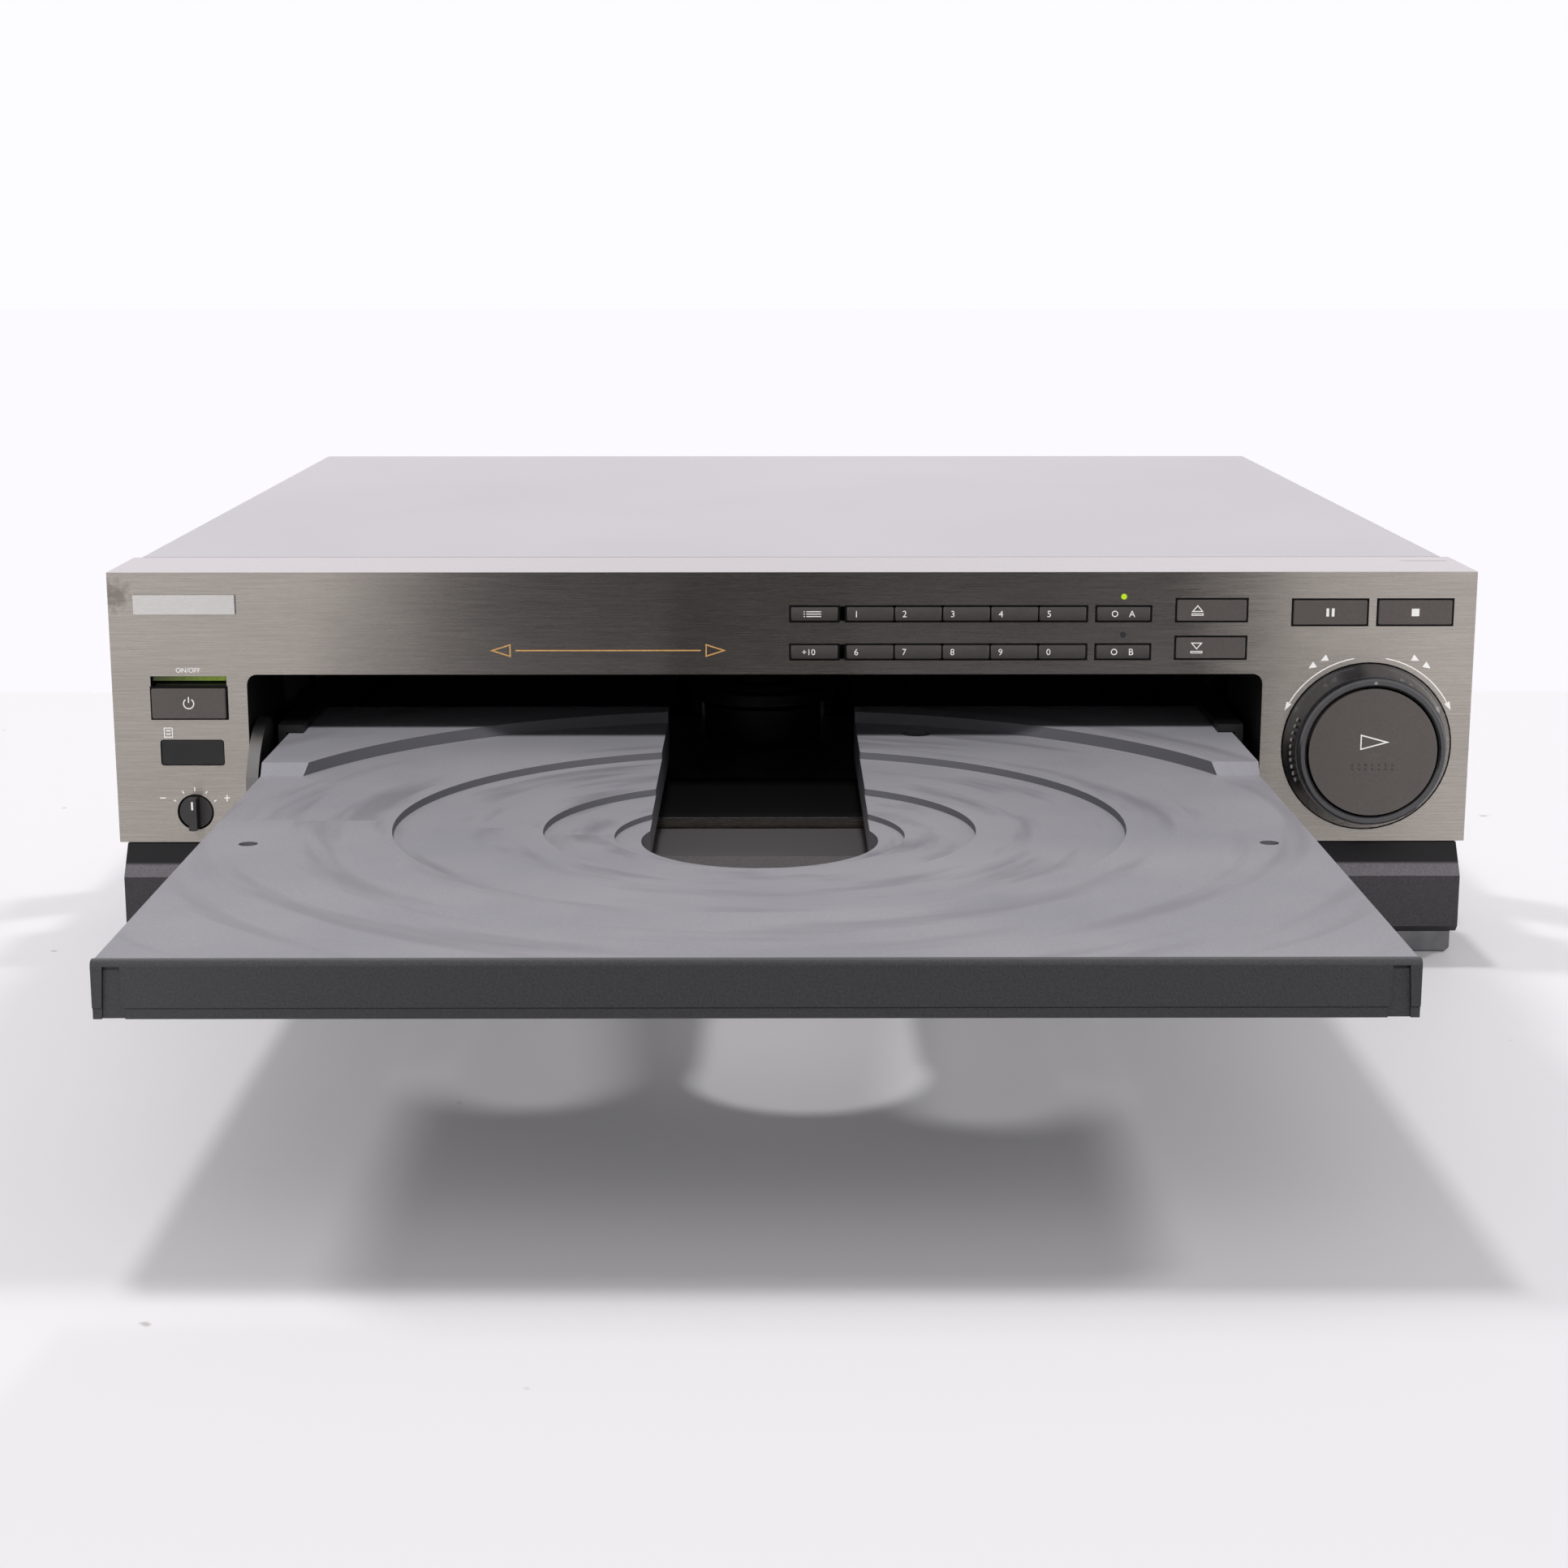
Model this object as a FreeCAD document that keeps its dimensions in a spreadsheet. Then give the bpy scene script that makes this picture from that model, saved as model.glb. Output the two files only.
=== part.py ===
"""Laserdisc player with its disc tray out and its front flap open.

Frame: +Z up, +Y from the front to the rear, +X to the right of a person who faces the front.
The origin is the middle of the plane that the feet stand on. Lengths are millimetres.
"""
import FreeCAD, Part
import math
import os
import Sketcher
from FreeCAD import Rotation, Vector

SIZES = (
    # overall body
    ("total_height", "122", "table to the top of the cover"),
    ("body_depth", "416", "front panel face to the rear edge of the cover"),
    ("foot_height", "7", "table to the underside of the base"),
    # front panel
    ("fascia_width", "430", "front panel, end to end"),
    ("fascia_height", "86.6", "front panel, bottom edge to top edge"),
    ("fascia_sheet", "1.5", "thickness of the front panel's face"),
    ("return_sheet", "2", "thickness of its top and side returns"),
    ("return_depth", "38", "front face to the seam with the cover"),
    ("key_gap", "0.3", "gap round each key in its slot"),
    ("hole_margin", "1", "how far a cutter runs past what it cuts"),
    # mouth of the tray
    ("mouth_centre", "-11.9", "middle of the tray's mouth, across"),
    ("mouth_width", "321", "width of the tray's mouth"),
    ("mouth_top_drop", "32.4", "panel top down to the mouth's upper edge"),
    ("mouth_height", "46.6", "height of the tray's mouth"),
    ("mouth_corner", "3.2", "corner radius of the mouth"),
    # sub-panel and tunnel
    ("frame_sheet", "3", "thickness of the sub-panel"),
    ("frame_gap", "0.4", "sub-panel to the front panel's returns"),
    ("tunnel_wall", "2.5", "walls of the tunnel behind the mouth"),
    ("tunnel_depth", "63", "front face to the rear end of the tunnel"),
    ("tunnel_floor_start", "6.8", "front face to the front edge of the tunnel's floor"),
    # programme keys
    ("key_depth", "6.5", "front face to the rear end of a key"),
    ("key_proud", "0.4", "how far a key stands out of the panel"),
    ("key_lip", "0.8", "lip above and below a key, behind the sub-panel"),
    ("key_lip_depth", "1", "thickness of that lip"),
    ("number_key_width", "14.8", "number key"),
    ("number_key_height", "4.3", "number key"),
    ("number_key_pitch", "15.15", "one number key to the next"),
    ("number_key_start", "24.35", "middle of the first number key"),
    ("program_key_x", "6.8", "middle of the key before the numbers"),
    ("upper_row_drop", "13.2", "panel top to the middle of the upper row"),
    ("lower_row_drop", "25.3", "panel top to the middle of the lower row"),
    ("side_key_x", "104.1", "middle of the disc side keys"),
    ("side_key_width", "16.8", "disc side key"),
    ("lamp_radius", "0.9", "side lamps"),
    ("lamp_rise", "5.4", "key row up to its lamp"),
    # tray keys, pause and stop
    ("tray_key_x", "131.8", "middle of the open and close keys"),
    ("tray_key_width", "21.9", "open and close keys"),
    ("tray_key_height", "6.6", "open and close keys"),
    ("open_key_drop", "12.1", "panel top to the open key"),
    ("close_key_drop", "24.05", "panel top to the close key"),
    ("stop_key_x", "195.9", "middle of the stop key"),
    ("pause_key_x", "169.1", "middle of the pause key"),
    ("stop_key_width", "23.2", "pause and stop keys"),
    ("stop_key_height", "7.7", "pause and stop keys"),
    ("stop_key_drop", "12.8", "panel top to the pause and stop keys"),
    # shuttle ring and play key
    ("jog_x", "182.3", "middle of the shuttle ring"),
    ("jog_drop", "55.8", "panel top to the middle of the shuttle ring"),
    ("jog_hole_radius", "27.1", "hole for the ring in the front panel"),
    ("ring_gap", "0.5", "ring to the hole's edge"),
    ("ring_proud", "10.2", "how far the ring stands out"),
    ("ring_front_radius", "23.3", "ring at its front band"),
    ("ring_groove", "0.6", "groove behind the front band"),
    ("ring_lip", "3.5", "depth of the ring's front lip"),
    ("collar_radius", "22.9", "fixed collar that the ring turns on"),
    ("collar_wall", "1.9", "wall of the collar"),
    ("running_gap", "0.06", "shafts and collars in their bores"),
    ("rest_gap", "0.3", "faces that pass each other"),
    ("play_key_radius", "20.2", "play key"),
    ("play_key_gap", "0.7", "play key to the ring"),
    ("play_key_thick", "8.5", "play key"),
    ("play_key_crown", "0.5", "how far the play key's face bulges"),
    ("play_stem_radius", "4", "stem of the play key"),
    # power key, remote window and dial
    ("power_x", "-190.8", "middle of the power recess"),
    ("power_drop", "39.75", "panel top to the middle of the power recess"),
    ("power_recess_width", "24", "power recess"),
    ("power_recess_height", "13.7", "power recess"),
    ("power_key_height", "9.6", "power key"),
    ("power_key_proud", "1.2", "how far the power key stands out"),
    ("lamp_bar_height", "1.5", "light bar over the power key"),
    ("lamp_bar_inset", "1.2", "front face to the light bar"),
    ("lamp_bar_gap", "0.1", "light bar to its slot's upper edge"),
    ("window_x", "-190.5", "middle of the remote window"),
    ("window_drop", "57.5", "panel top to the middle of the remote window"),
    ("window_width", "19.6", "remote window"),
    ("window_height", "7.8", "remote window"),
    ("window_corner", "1", "corner radius of the remote window"),
    ("window_inset", "0.4", "front face to the remote window"),
    ("dial_x", "-190.4", "middle of the dial"),
    ("dial_drop", "76.8", "panel top to the middle of the dial"),
    ("dial_hole_radius", "5.8", "hole for the dial"),
    ("dial_radius", "5.2", "disc of the dial"),
    ("dial_grip_width", "2.6", "bar grip of the dial"),
    ("dial_grip_proud", "5", "how far the grip stands out"),
    ("dial_shaft_radius", "1.5", "shaft of the dial"),
    # slot in the top return and badge
    ("top_slot_x", "204.5", "middle of the short slot in the panel's top"),
    ("top_slot_length", "15", "short slot in the panel's top"),
    ("top_slot_width", "0.6", "short slot in the panel's top"),
    ("top_slot_reach", "27.6", "front face to the slot"),
    ("badge_x", "-191", "middle of the blank badge"),
    ("badge_drop", "10.1", "panel top to the middle of the badge"),
    ("badge_width", "32", "blank badge"),
    ("badge_height", "6.2", "blank badge"),
    ("badge_thick", "0.7", "blank badge"),
    # boards behind the panel
    ("board_thick", "1.6", "printed circuit boards"),
    ("board_inset", "11", "front face to the control boards"),
    ("switch_size", "6", "tact switch"),
    ("switch_gap", "1", "key to its switch"),
    ("plunger_radius", "1.7", "plunger of a tact switch"),
    ("board_post_radius", "2.5", "posts that carry the control boards"),
    # base and feet
    ("base_side_inset", "2.5", "front panel's ends in to the base's sides"),
    ("skirt_nose", "7.2", "how far the base juts out in front of the panel"),
    ("skirt_height", "18.6", "base underside up to its ledge"),
    ("skirt_gap", "0.4", "base to the front panel's lower edge"),
    ("skirt_chamfer", "2", "chamfer along the base's lower front edge"),
    ("base_wall", "3", "walls and floor of the base"),
    ("pan_overlap", "1", "front wall of the base under the sub-panel"),
    ("foot_width", "46", "foot, across"),
    ("foot_length", "30", "foot, front to rear"),
    ("foot_side_inset", "1.6", "base side to the foot"),
    ("foot_front_inset", "2.2", "base front to the foot"),
    ("foot_taper", "1.4", "how much a foot narrows to its sole"),
    # cover and rear
    ("cover_side_inset", "1", "front panel's ends in to the cover's sides"),
    ("cover_sheet", "1", "sheet of the cover"),
    ("cover_seam", "0.6", "gap between the front panel and the cover"),
    ("cover_bend", "2", "bend radius along the cover's upper edges"),
    ("cover_lip", "12", "height of the lip folded down at the rear"),
    ("screw_head_radius", "3.4", "cover screws"),
    ("screw_head_thick", "1", "cover screws"),
    ("screw_shank_radius", "1.5", "cover screws"),
    ("screw_shank", "5", "length of the screws' shanks"),
    ("screw_rise", "18", "base ledge up to the side screws"),
    ("screw_reach", "130", "middle of the cover to the side screws, front to rear"),
    ("screw_tab_rise", "7.5", "side screws to the top of the base's tabs"),
    ("lip_screw_reach", "142", "middle of the body to the rear lip's outer screws"),
    ("rear_sheet", "1.2", "rear panel"),
    ("rear_inset", "1.3", "rear panel in front of the cover's rear edge"),
    ("jack_block_x", "-120", "middle of the jack block"),
    ("jack_rise", "70", "table to the middle of the jack block"),
    ("jack_pitch", "15", "one jack to the next"),
    ("jack_radius", "4.2", "phono jack barrel"),
    ("jack_neck_radius", "3.6", "phono jack where it passes the rear panel"),
    ("jack_bore", "1.7", "phono jack bore"),
    ("jack_length", "9", "phono jack barrel"),
    ("jack_block_depth", "14", "depth of the jack block inside the rear panel"),
    ("socket_x", "-48", "middle of the round video socket"),
    ("socket_radius", "6.2", "round video socket"),
    ("inlet_x", "178", "middle of the mains inlet"),
    ("inlet_width", "25", "mains inlet"),
    ("inlet_height", "17", "mains inlet"),
    ("inlet_wall", "3.5", "walls round the mains inlet's recess"),
    ("inlet_depth", "18", "depth of the mains inlet"),
    ("inlet_pin_radius", "1.2", "contact pins of the mains inlet"),
    # tray
    ("tray_centre", "-10.1", "middle of the tray, across"),
    ("tray_width", "304.4", "tray, side to side"),
    ("tray_front_reach", "243", "front panel face out to the tray's front edge"),
    ("tray_rear_reach", "62", "front panel face in to the tray's rear edge"),
    ("tray_floor_drop", "57.7", "panel top down to the tray's floor"),
    ("tray_thick", "14", "tray's floor down to its lower edge"),
    ("tray_wall", "2.4", "walls and ribs of the tray"),
    ("ear_height", "3.7", "raised rear corners of the tray"),
    ("ear_ramp_start", "36", "front panel face out to the foot of the corners' ramp"),
    ("ear_ramp", "3", "length of the corners' ramp"),
    ("disc_centre_reach", "97", "front panel face out to the disc's centre"),
    ("large_disc_radius", "152", "place of the 30 cm disc"),
    ("middle_disc_radius", "102.8", "recess for the 20 cm disc"),
    ("middle_disc_depth", "2.2", "recess for the 20 cm disc"),
    ("compact_disc_radius", "61", "recess for the 12 cm disc"),
    ("compact_disc_depth", "2", "recess for the 12 cm disc"),
    ("small_disc_radius", "41", "recess for the 8 cm disc"),
    ("small_disc_depth", "1.6", "recess for the 8 cm disc"),
    ("notch_radius", "33.5", "front end of the tray's notch"),
    ("notch_half_width", "31.5", "tray's notch behind the disc's centre"),
    ("pin_hole_radius", "2.6", "two small holes beside the recesses"),
    ("pin_hole_offset", "138.8", "tray's middle to those holes"),
    ("pin_hole_ahead", "28.8", "disc's centre forward to those holes"),
    ("stud_hole_radius", "4.8", "hole near the tray's rear edge"),
    ("stud_hole_x", "41", "that hole, across"),
    ("stud_hole_back", "30", "tray's rear edge to that hole"),
    ("trim_thick", "2.5", "front trim of the tray"),
    ("trim_overhang", "0.6", "trim past the tray's sides"),
    ("trim_round", "1.4", "rounding of the trim's upper edge"),
    ("trim_step", "0.5", "trim's lower lip set back"),
    ("trim_lip", "2.8", "height of that lip"),
    ("trim_notch_inset", "2", "trim's end to its notch"),
    ("trim_notch_top", "4", "width of the notch at the top"),
    ("trim_notch_bottom", "5.5", "width of the notch at the bottom"),
    ("tray_travel", "267", "how far the tray runs in"),
    # tray drive
    ("tooth_module", "1.5", "rack and pinion"),
    ("pinion_teeth", "16", "pinion"),
    ("rack_back", "2.6", "rack behind its teeth"),
    ("rack_height", "4.4", "rack and pinion, top to bottom"),
    ("rack_end", "6", "rack's ends to the tray's cavity"),
    ("pinion_reach", "43.2", "front panel face in to the pinion"),
    ("pulley_radius", "12", "belt pulley under the pinion"),
    ("pulley_flange", "1.2", "pulley flanges past the belt's seat"),
    ("pulley_height", "4.4", "belt pulley"),
    ("motor_pulley_radius", "4", "pulley of the loading motor"),
    ("motor_offset", "48", "pinion to the loading motor"),
    ("motor_radius", "12", "loading motor"),
    ("motor_height", "26", "loading motor"),
    ("belt_thick", "1.1", "belt"),
    ("belt_width", "2.4", "belt"),
    ("belt_gap", "0.15", "belt to its pulleys"),
    ("axle_radius", "1.5", "pinion's axle and motor's shaft"),
    ("hub_radius", "4", "hub between the pulley and the pinion"),
    # guide rails
    ("rail_wall", "2.5", "guide rails"),
    ("rail_side_gap", "0.3", "tray's front trim to the guide rails' walls"),
    ("rail_flange", "8", "guide rails' flanges inward"),
    ("rail_start", "14", "front panel face in to the rails"),
    ("rail_length", "318", "guide rails"),
    ("rail_foot_length", "14", "feet of the guide rails"),
    # flap
    ("flap_gap", "0.6", "flap to the mouth's edges"),
    ("flap_thick", "6", "flap"),
    ("flap_set_back", "1", "closed flap behind the panel's face"),
    ("flap_step", "2", "flap's thinner strip near its hinge"),
    ("flap_step_reach", "17.6", "front panel face out to that step"),
    ("flap_axis_back", "3.4", "front panel face in to the hinge pins"),
    ("flap_axis_drop", "83.7", "panel top to the hinge pins"),
    ("flap_pin_radius", "1", "hinge pins"),
    ("flap_eye_radius", "1.7", "eyes round the hinge pins"),
    ("flap_ear_width", "4", "ears that carry the flap"),
    ("flap_ear_inset", "7", "mouth's side to the ears"),
    ("flap_ear_gap", "0.9", "ears to the panel's front face"),
    ("arm_width", "3.8", "curved arm at the flap's left end"),
    ("arm_side_gap", "1.2", "mouth's side to the arm"),
    ("arm_radius", "28.8", "curved edge of the arm"),
    ("arm_foot_reach", "17", "front panel face out to the arm's outer corner"),
    ("arm_foot_setback", "1", "front panel face out to the arm's foot"),
    ("arm_foot_rise", "4", "flap's thinner strip up to the arm's heel"),
    ("arm_sill_reach", "6", "front panel face in to the arm's heel"),
    ("arm_sill_rise", "2.5", "mouth's floor up to the arm's heel"),
    ("arm_rear_reach", "13", "front panel face in to the arm's lower rear corner"),
    ("arm_rear_rise", "4", "mouth's floor up to that corner"),
    ("arm_tip_reach", "15.5", "front panel face in to the arm's tip"),
    ("arm_tip_rise", "28", "mouth's floor up to the arm's tip"),
    ("arm_crest_reach", "10.4", "front panel face in to the start of the curved edge"),
    ("arm_crest_rise", "31.1", "mouth's floor up to that start"),
    ("arm_brow_reach", "13.7", "front panel face out to the end of the curved edge"),
    ("arm_brow_rise", "16.2", "mouth's floor up to that end"),
    # mechanism
    ("plate_sheet", "1.5", "mechanism plate"),
    ("plate_rise", "36", "table to the mechanism plate"),
    ("plate_front_reach", "68", "front panel face in to the plate"),
    ("plate_rear_margin", "8", "clamp arm's pivot back to the plate's rear edge"),
    ("post_radius", "5", "posts that carry the plate"),
    ("post_inset", "16", "plate's edges to the posts"),
    ("damper_radius", "7", "rubber dampers"),
    ("damper_height", "4", "rubber dampers"),
    ("spindle_motor_radius", "22", "spindle motor"),
    ("spindle_motor_height", "13", "spindle motor"),
    ("spindle_radius", "1.5", "spindle"),
    ("turntable_radius", "27", "turntable"),
    ("turntable_rise", "57", "table to the turntable's rim"),
    ("turntable_thick", "4", "turntable"),
    ("large_hub_radius", "17.3", "hub for the large discs"),
    ("small_hub_radius", "7.3", "hub for the small discs"),
    ("hub_step", "2", "steps of the turntable's hubs"),
    ("clamp_radius", "16", "disc clamp"),
    ("clamp_thick", "6", "disc clamp"),
    ("clamp_rise", "73", "table to the disc clamp"),
    ("clamp_stem_radius", "4", "stem of the disc clamp"),
    ("clamp_cap_radius", "7", "cap of the disc clamp"),
    ("clamp_cap_gap", "0.1", "clamp arm to the cap over it"),
    ("clamp_cheek_length", "12", "cheeks of the clamp arm, ahead of its pivot"),
    ("arm_rise", "85", "table to the clamp arm"),
    ("clamp_arm_half", "18", "half width of the clamp arm"),
    ("arm_pivot_reach", "340", "front panel face in to the clamp arm's pivot"),
    ("pivot_radius", "2", "pivot of the clamp arm"),
    ("pivot_eye_radius", "4", "eyes of the clamp arm"),
    ("bracket_sheet", "2", "brackets of the clamp arm"),
    ("rod_radius", "2", "rods of the pickup"),
    ("rod_offset", "20", "rods beside the middle line"),
    ("rod_rise", "43", "table to the rods"),
    ("rod_start", "205", "front panel face in to the rods"),
    ("rod_end_gap", "2", "rods' rear ends ahead of the clamp arm's pivot"),
    ("bearer_margin", "2", "rods to the sides of their bearers"),
    ("bearer_cap", "1", "rods to the top of their bearers"),
    ("sled_half", "27", "half width of the pickup sled"),
    ("sled_length", "38", "pickup sled"),
    ("sled_height", "9", "pickup sled"),
    ("sled_start", "210", "front panel face in to the sled"),
    ("lens_radius", "4", "pickup lens"),
    ("lens_height", "4", "pickup lens above the sled"),
    # boards inside
    ("main_board_rise", "15", "table to the main board"),
    ("main_board_width", "250", "main board"),
    ("main_board_length", "210", "main board"),
    ("main_board_reach", "110", "front panel face in to the main board"),
    ("supply_side_gap", "4.5", "base's side wall to the power supply board"),
    ("supply_width", "48", "power supply board"),
    ("supply_length", "170", "power supply board"),
    ("supply_reach", "190", "front panel face in to the power supply board"),
    ("chip_side", "6", "smallest chip"),
    ("chip_thick", "3", "chips above the board"),
    ("chip_depth", "12", "chips, front to rear"),
    ("can_radius", "3", "small capacitors"),
    ("can_height", "12", "small capacitors"),
    ("can_offset", "18", "chips back to their capacitors"),
    ("supply_can_radius", "6", "capacitors of the power supply"),
    ("supply_can_height", "18", "lowest of those capacitors"),
    ("supply_can_step", "6", "one of those capacitors over the one before"),
    ("supply_can_pitch", "21.25", "one of those capacitors to the next"),
    ("heat_sink_thick", "3", "heat sink"),
    ("heat_sink_height", "36", "heat sink"),
    ("heat_sink_inset", "6", "power supply board's edges to the heat sink"),
    ("core_width", "31.5", "iron core of the transformer"),
    ("coil_inset", "6", "transformer's faces in to its coil"),
    ("transformer_inset", "3", "power supply board's rear edge to the transformer"),
    ("transformer_width", "42", "transformer"),
    ("transformer_length", "52", "transformer"),
    ("transformer_height", "44", "transformer"),
)


class Formula:
    """A length with its value and the sheet formula that gives it."""

    def __init__(self, value, text):
        self.value = value
        self.text = text

    def __add__(self, other):
        other = as_formula(other)
        return Formula(self.value + other.value, f"({self.text} + {other.text})")

    def __sub__(self, other):
        other = as_formula(other)
        return Formula(self.value - other.value, f"({self.text} - {other.text})")

    def __mul__(self, other):
        other = as_formula(other)
        return Formula(self.value * other.value, f"({self.text} * {other.text})")

    def __truediv__(self, other):
        other = as_formula(other)
        return Formula(self.value / other.value, f"({self.text} / {other.text})")

    def __radd__(self, other):
        return as_formula(other) + self

    def __rsub__(self, other):
        return as_formula(other) - self

    def __rmul__(self, other):
        return as_formula(other) * self

    def __neg__(self):
        return 0 - self


def as_formula(thing):
    """A plain number or a formula, as a formula."""
    if isinstance(thing, Formula):
        return thing
    return Formula(float(thing), f"({float(thing):.6f})")


def root(formula):
    """The square root of a formula."""
    return Formula(math.sqrt(formula.value), f"sqrt({formula.text})")


class Sizes:
    """The sheet's values, each under its alias."""


doc = FreeCAD.newDocument("laserdisc_player")
sheet = doc.addObject("Spreadsheet::Sheet", "Sizes")
size = Sizes()
for row, (alias, text, note) in enumerate(SIZES, start=1):
    sheet.set(f"A{row}", note)
    sheet.set(f"B{row}", text)
    sheet.setAlias(f"B{row}", alias)
    setattr(size, alias, Formula(float(text), f"Sizes.{alias}"))
doc.recompute()

nodes = []


def bind(thing, path, formula):
    """Let a property of an object follow a formula."""
    thing.setExpression(path, as_formula(formula).text)


def keep(thing, label):
    """Mark an object as one of the player's pieces, under its name."""
    thing.Label = label
    nodes.append(thing)
    return thing


# Part primitives and booleans

def box(name, x, y, z):
    """A block between two limits on each axis."""
    block = doc.addObject("Part::Box", name)
    for side, axis, (low, high) in zip(("Length", "Width", "Height"), "xyz", (x, y, z)):
        bind(block, side, high - low)
        bind(block, f"Placement.Base.{axis}", low)
    return block


ROD_TURN = {"x": Rotation(Vector(0, 1, 0), 90), "y": Rotation(Vector(1, 0, 0), -90), "z": Rotation()}
ROD_AXES = {"x": "yzx", "y": "xzy", "z": "xyz"}


def rod(name, axis, centre, span, radius):
    """A cylinder along one axis, at a place on the other two and between two limits on its own."""
    cylinder = doc.addObject("Part::Cylinder", name)
    cylinder.Placement.Rotation = ROD_TURN[axis]
    low, high = span
    bind(cylinder, "Radius", radius)
    bind(cylinder, "Height", high - low)
    for letter, place in zip(ROD_AXES[axis], (*centre, low)):
        bind(cylinder, f"Placement.Base.{letter}", place)
    return cylinder


def fuse(name, shapes):
    """One solid, or one group of solids, of several shapes."""
    union = doc.addObject("Part::MultiFuse", name)
    union.Shapes = shapes
    union.Refine = True
    return union


def cut(name, base, tools):
    """A shape with others taken out of it."""
    result = doc.addObject("Part::Cut", name)
    result.Base = base
    result.Tool = tools[0] if len(tools) == 1 else fuse(f"{name}_cutters", tools)
    result.Refine = True
    return result


# sketches and PartDesign features

def new_body(name):
    """A PartDesign body of its own document object."""
    return doc.addObject("PartDesign::Body", name)


def sketch_on(body, plane, level, name):
    """A sketch parallel to one of the body's own planes, at a place along that plane's axis."""
    sketch = body.newObject("Sketcher::SketchObject", name)
    support = next(part for part in body.Origin.OriginFeatures if part.Role == f"{plane}_Plane")
    sketch.AttachmentSupport = [(support, "")]
    sketch.MapMode = "FlatFace"
    bind(sketch, "AttachmentOffset.Base.z", -as_formula(level) if plane == "XZ" else level)
    return sketch


def pin(sketch, kind, points, formula):
    """A dimension of the sketch that follows a formula."""
    formula = as_formula(formula)
    index = sketch.addConstraint(Sketcher.Constraint(kind, *points, formula.value))
    sketch.setExpression(f"Constraints[{index}]", formula.text)


ORIGIN = (-1, 1)


def arc_between(start, end, radius):
    """The arc from start to end, shorter than half a turn; a negative radius turns clockwise."""
    chord = end - start
    left = Vector(-chord.y, chord.x, 0).normalize()
    height = math.sqrt(max(radius ** 2 - chord.Length ** 2 / 4, 0))
    centre = (start + end) / 2 + left * math.copysign(height, radius)
    first, last = (start, end) if radius > 0 else (end, start)
    angles = [math.atan2(point.y - centre.y, point.x - centre.x) for point in (first, last)]
    return Part.ArcOfCircle(Part.Circle(centre, Vector(0, 0, 1), abs(radius)), *angles)


def outline(sketch, points):
    """A closed outline; a point with a third value starts an arc of that radius, others a line."""
    places = [tuple(as_formula(value) for value in point) for point in points]
    corners = [Vector(place[0].value, place[1].value, 0) for place in places]
    ends = []
    for index, place in enumerate(places):
        start = corners[index]
        end = corners[(index + 1) % len(corners)]
        if len(place) == 3:
            edge = sketch.addGeometry(arc_between(start, end, place[2].value))
            forward = place[2].value > 0
            ends.append((edge, 1, 2) if forward else (edge, 2, 1))
            pin(sketch, "Radius", (edge,), place[2] if forward else -place[2])
        else:
            edge = sketch.addGeometry(Part.LineSegment(start, end))
            ends.append((edge, 1, 2))
    for index, (edge, start, end) in enumerate(ends):
        following = ends[(index + 1) % len(ends)]
        sketch.addConstraint(Sketcher.Constraint("Coincident", edge, end, following[0], following[1]))
        pin(sketch, "DistanceX", (*ORIGIN, edge, start), places[index][0])
        pin(sketch, "DistanceY", (*ORIGIN, edge, start), places[index][1])


def rectangle(sketch, x, y):
    """A rectangle between two limits each way."""
    outline(sketch, ((x[0], y[0]), (x[1], y[0]), (x[1], y[1]), (x[0], y[1])))


def rounded_rectangle(sketch, x, y, radius):
    """A rectangle with four round corners."""
    (left, right), (low, high) = x, y
    outline(sketch, (
        (left + radius, low), (right - radius, low, radius),
        (right, low + radius), (right, high - radius, radius),
        (right - radius, high), (left + radius, high, radius),
        (left, high - radius), (left, low + radius, radius),
    ))


def circle(sketch, x, y, radius):
    """A circle in a sketch."""
    x, y, radius = (as_formula(value) for value in (x, y, radius))
    edge = sketch.addGeometry(Part.Circle(Vector(x.value, y.value, 0), Vector(0, 0, 1), radius.value))
    pin(sketch, "DistanceX", (*ORIGIN, edge, 3), x)
    pin(sketch, "DistanceY", (*ORIGIN, edge, 3), y)
    pin(sketch, "Radius", (edge,), radius)


def pad(body, sketch, length, backward=False):
    """Material along the sketch's normal, or against it."""
    feature = body.newObject("PartDesign::Pad", f"{sketch.Name}_pad")
    feature.Profile = sketch
    feature.Reversed = backward
    bind(feature, "Length", length)
    sketch.Visibility = False
    return feature


def pocket(body, sketch, length, forward=False):
    """A cut against the sketch's normal, or along it."""
    feature = body.newObject("PartDesign::Pocket", f"{sketch.Name}_pocket")
    feature.Profile = sketch
    feature.Reversed = forward
    bind(feature, "Length", length)
    sketch.Visibility = False
    return feature


def revolve(body, sketch):
    """A full turn of the sketch about its own vertical axis."""
    feature = body.newObject("PartDesign::Revolution", f"{sketch.Name}_turn")
    feature.Profile = sketch
    feature.ReferenceAxis = (sketch, ["V_Axis"])
    feature.Angle = 360
    return feature


def about(centre, whole):
    """The two limits of a length about its middle."""
    return centre - whole / 2, centre + whole / 2


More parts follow.
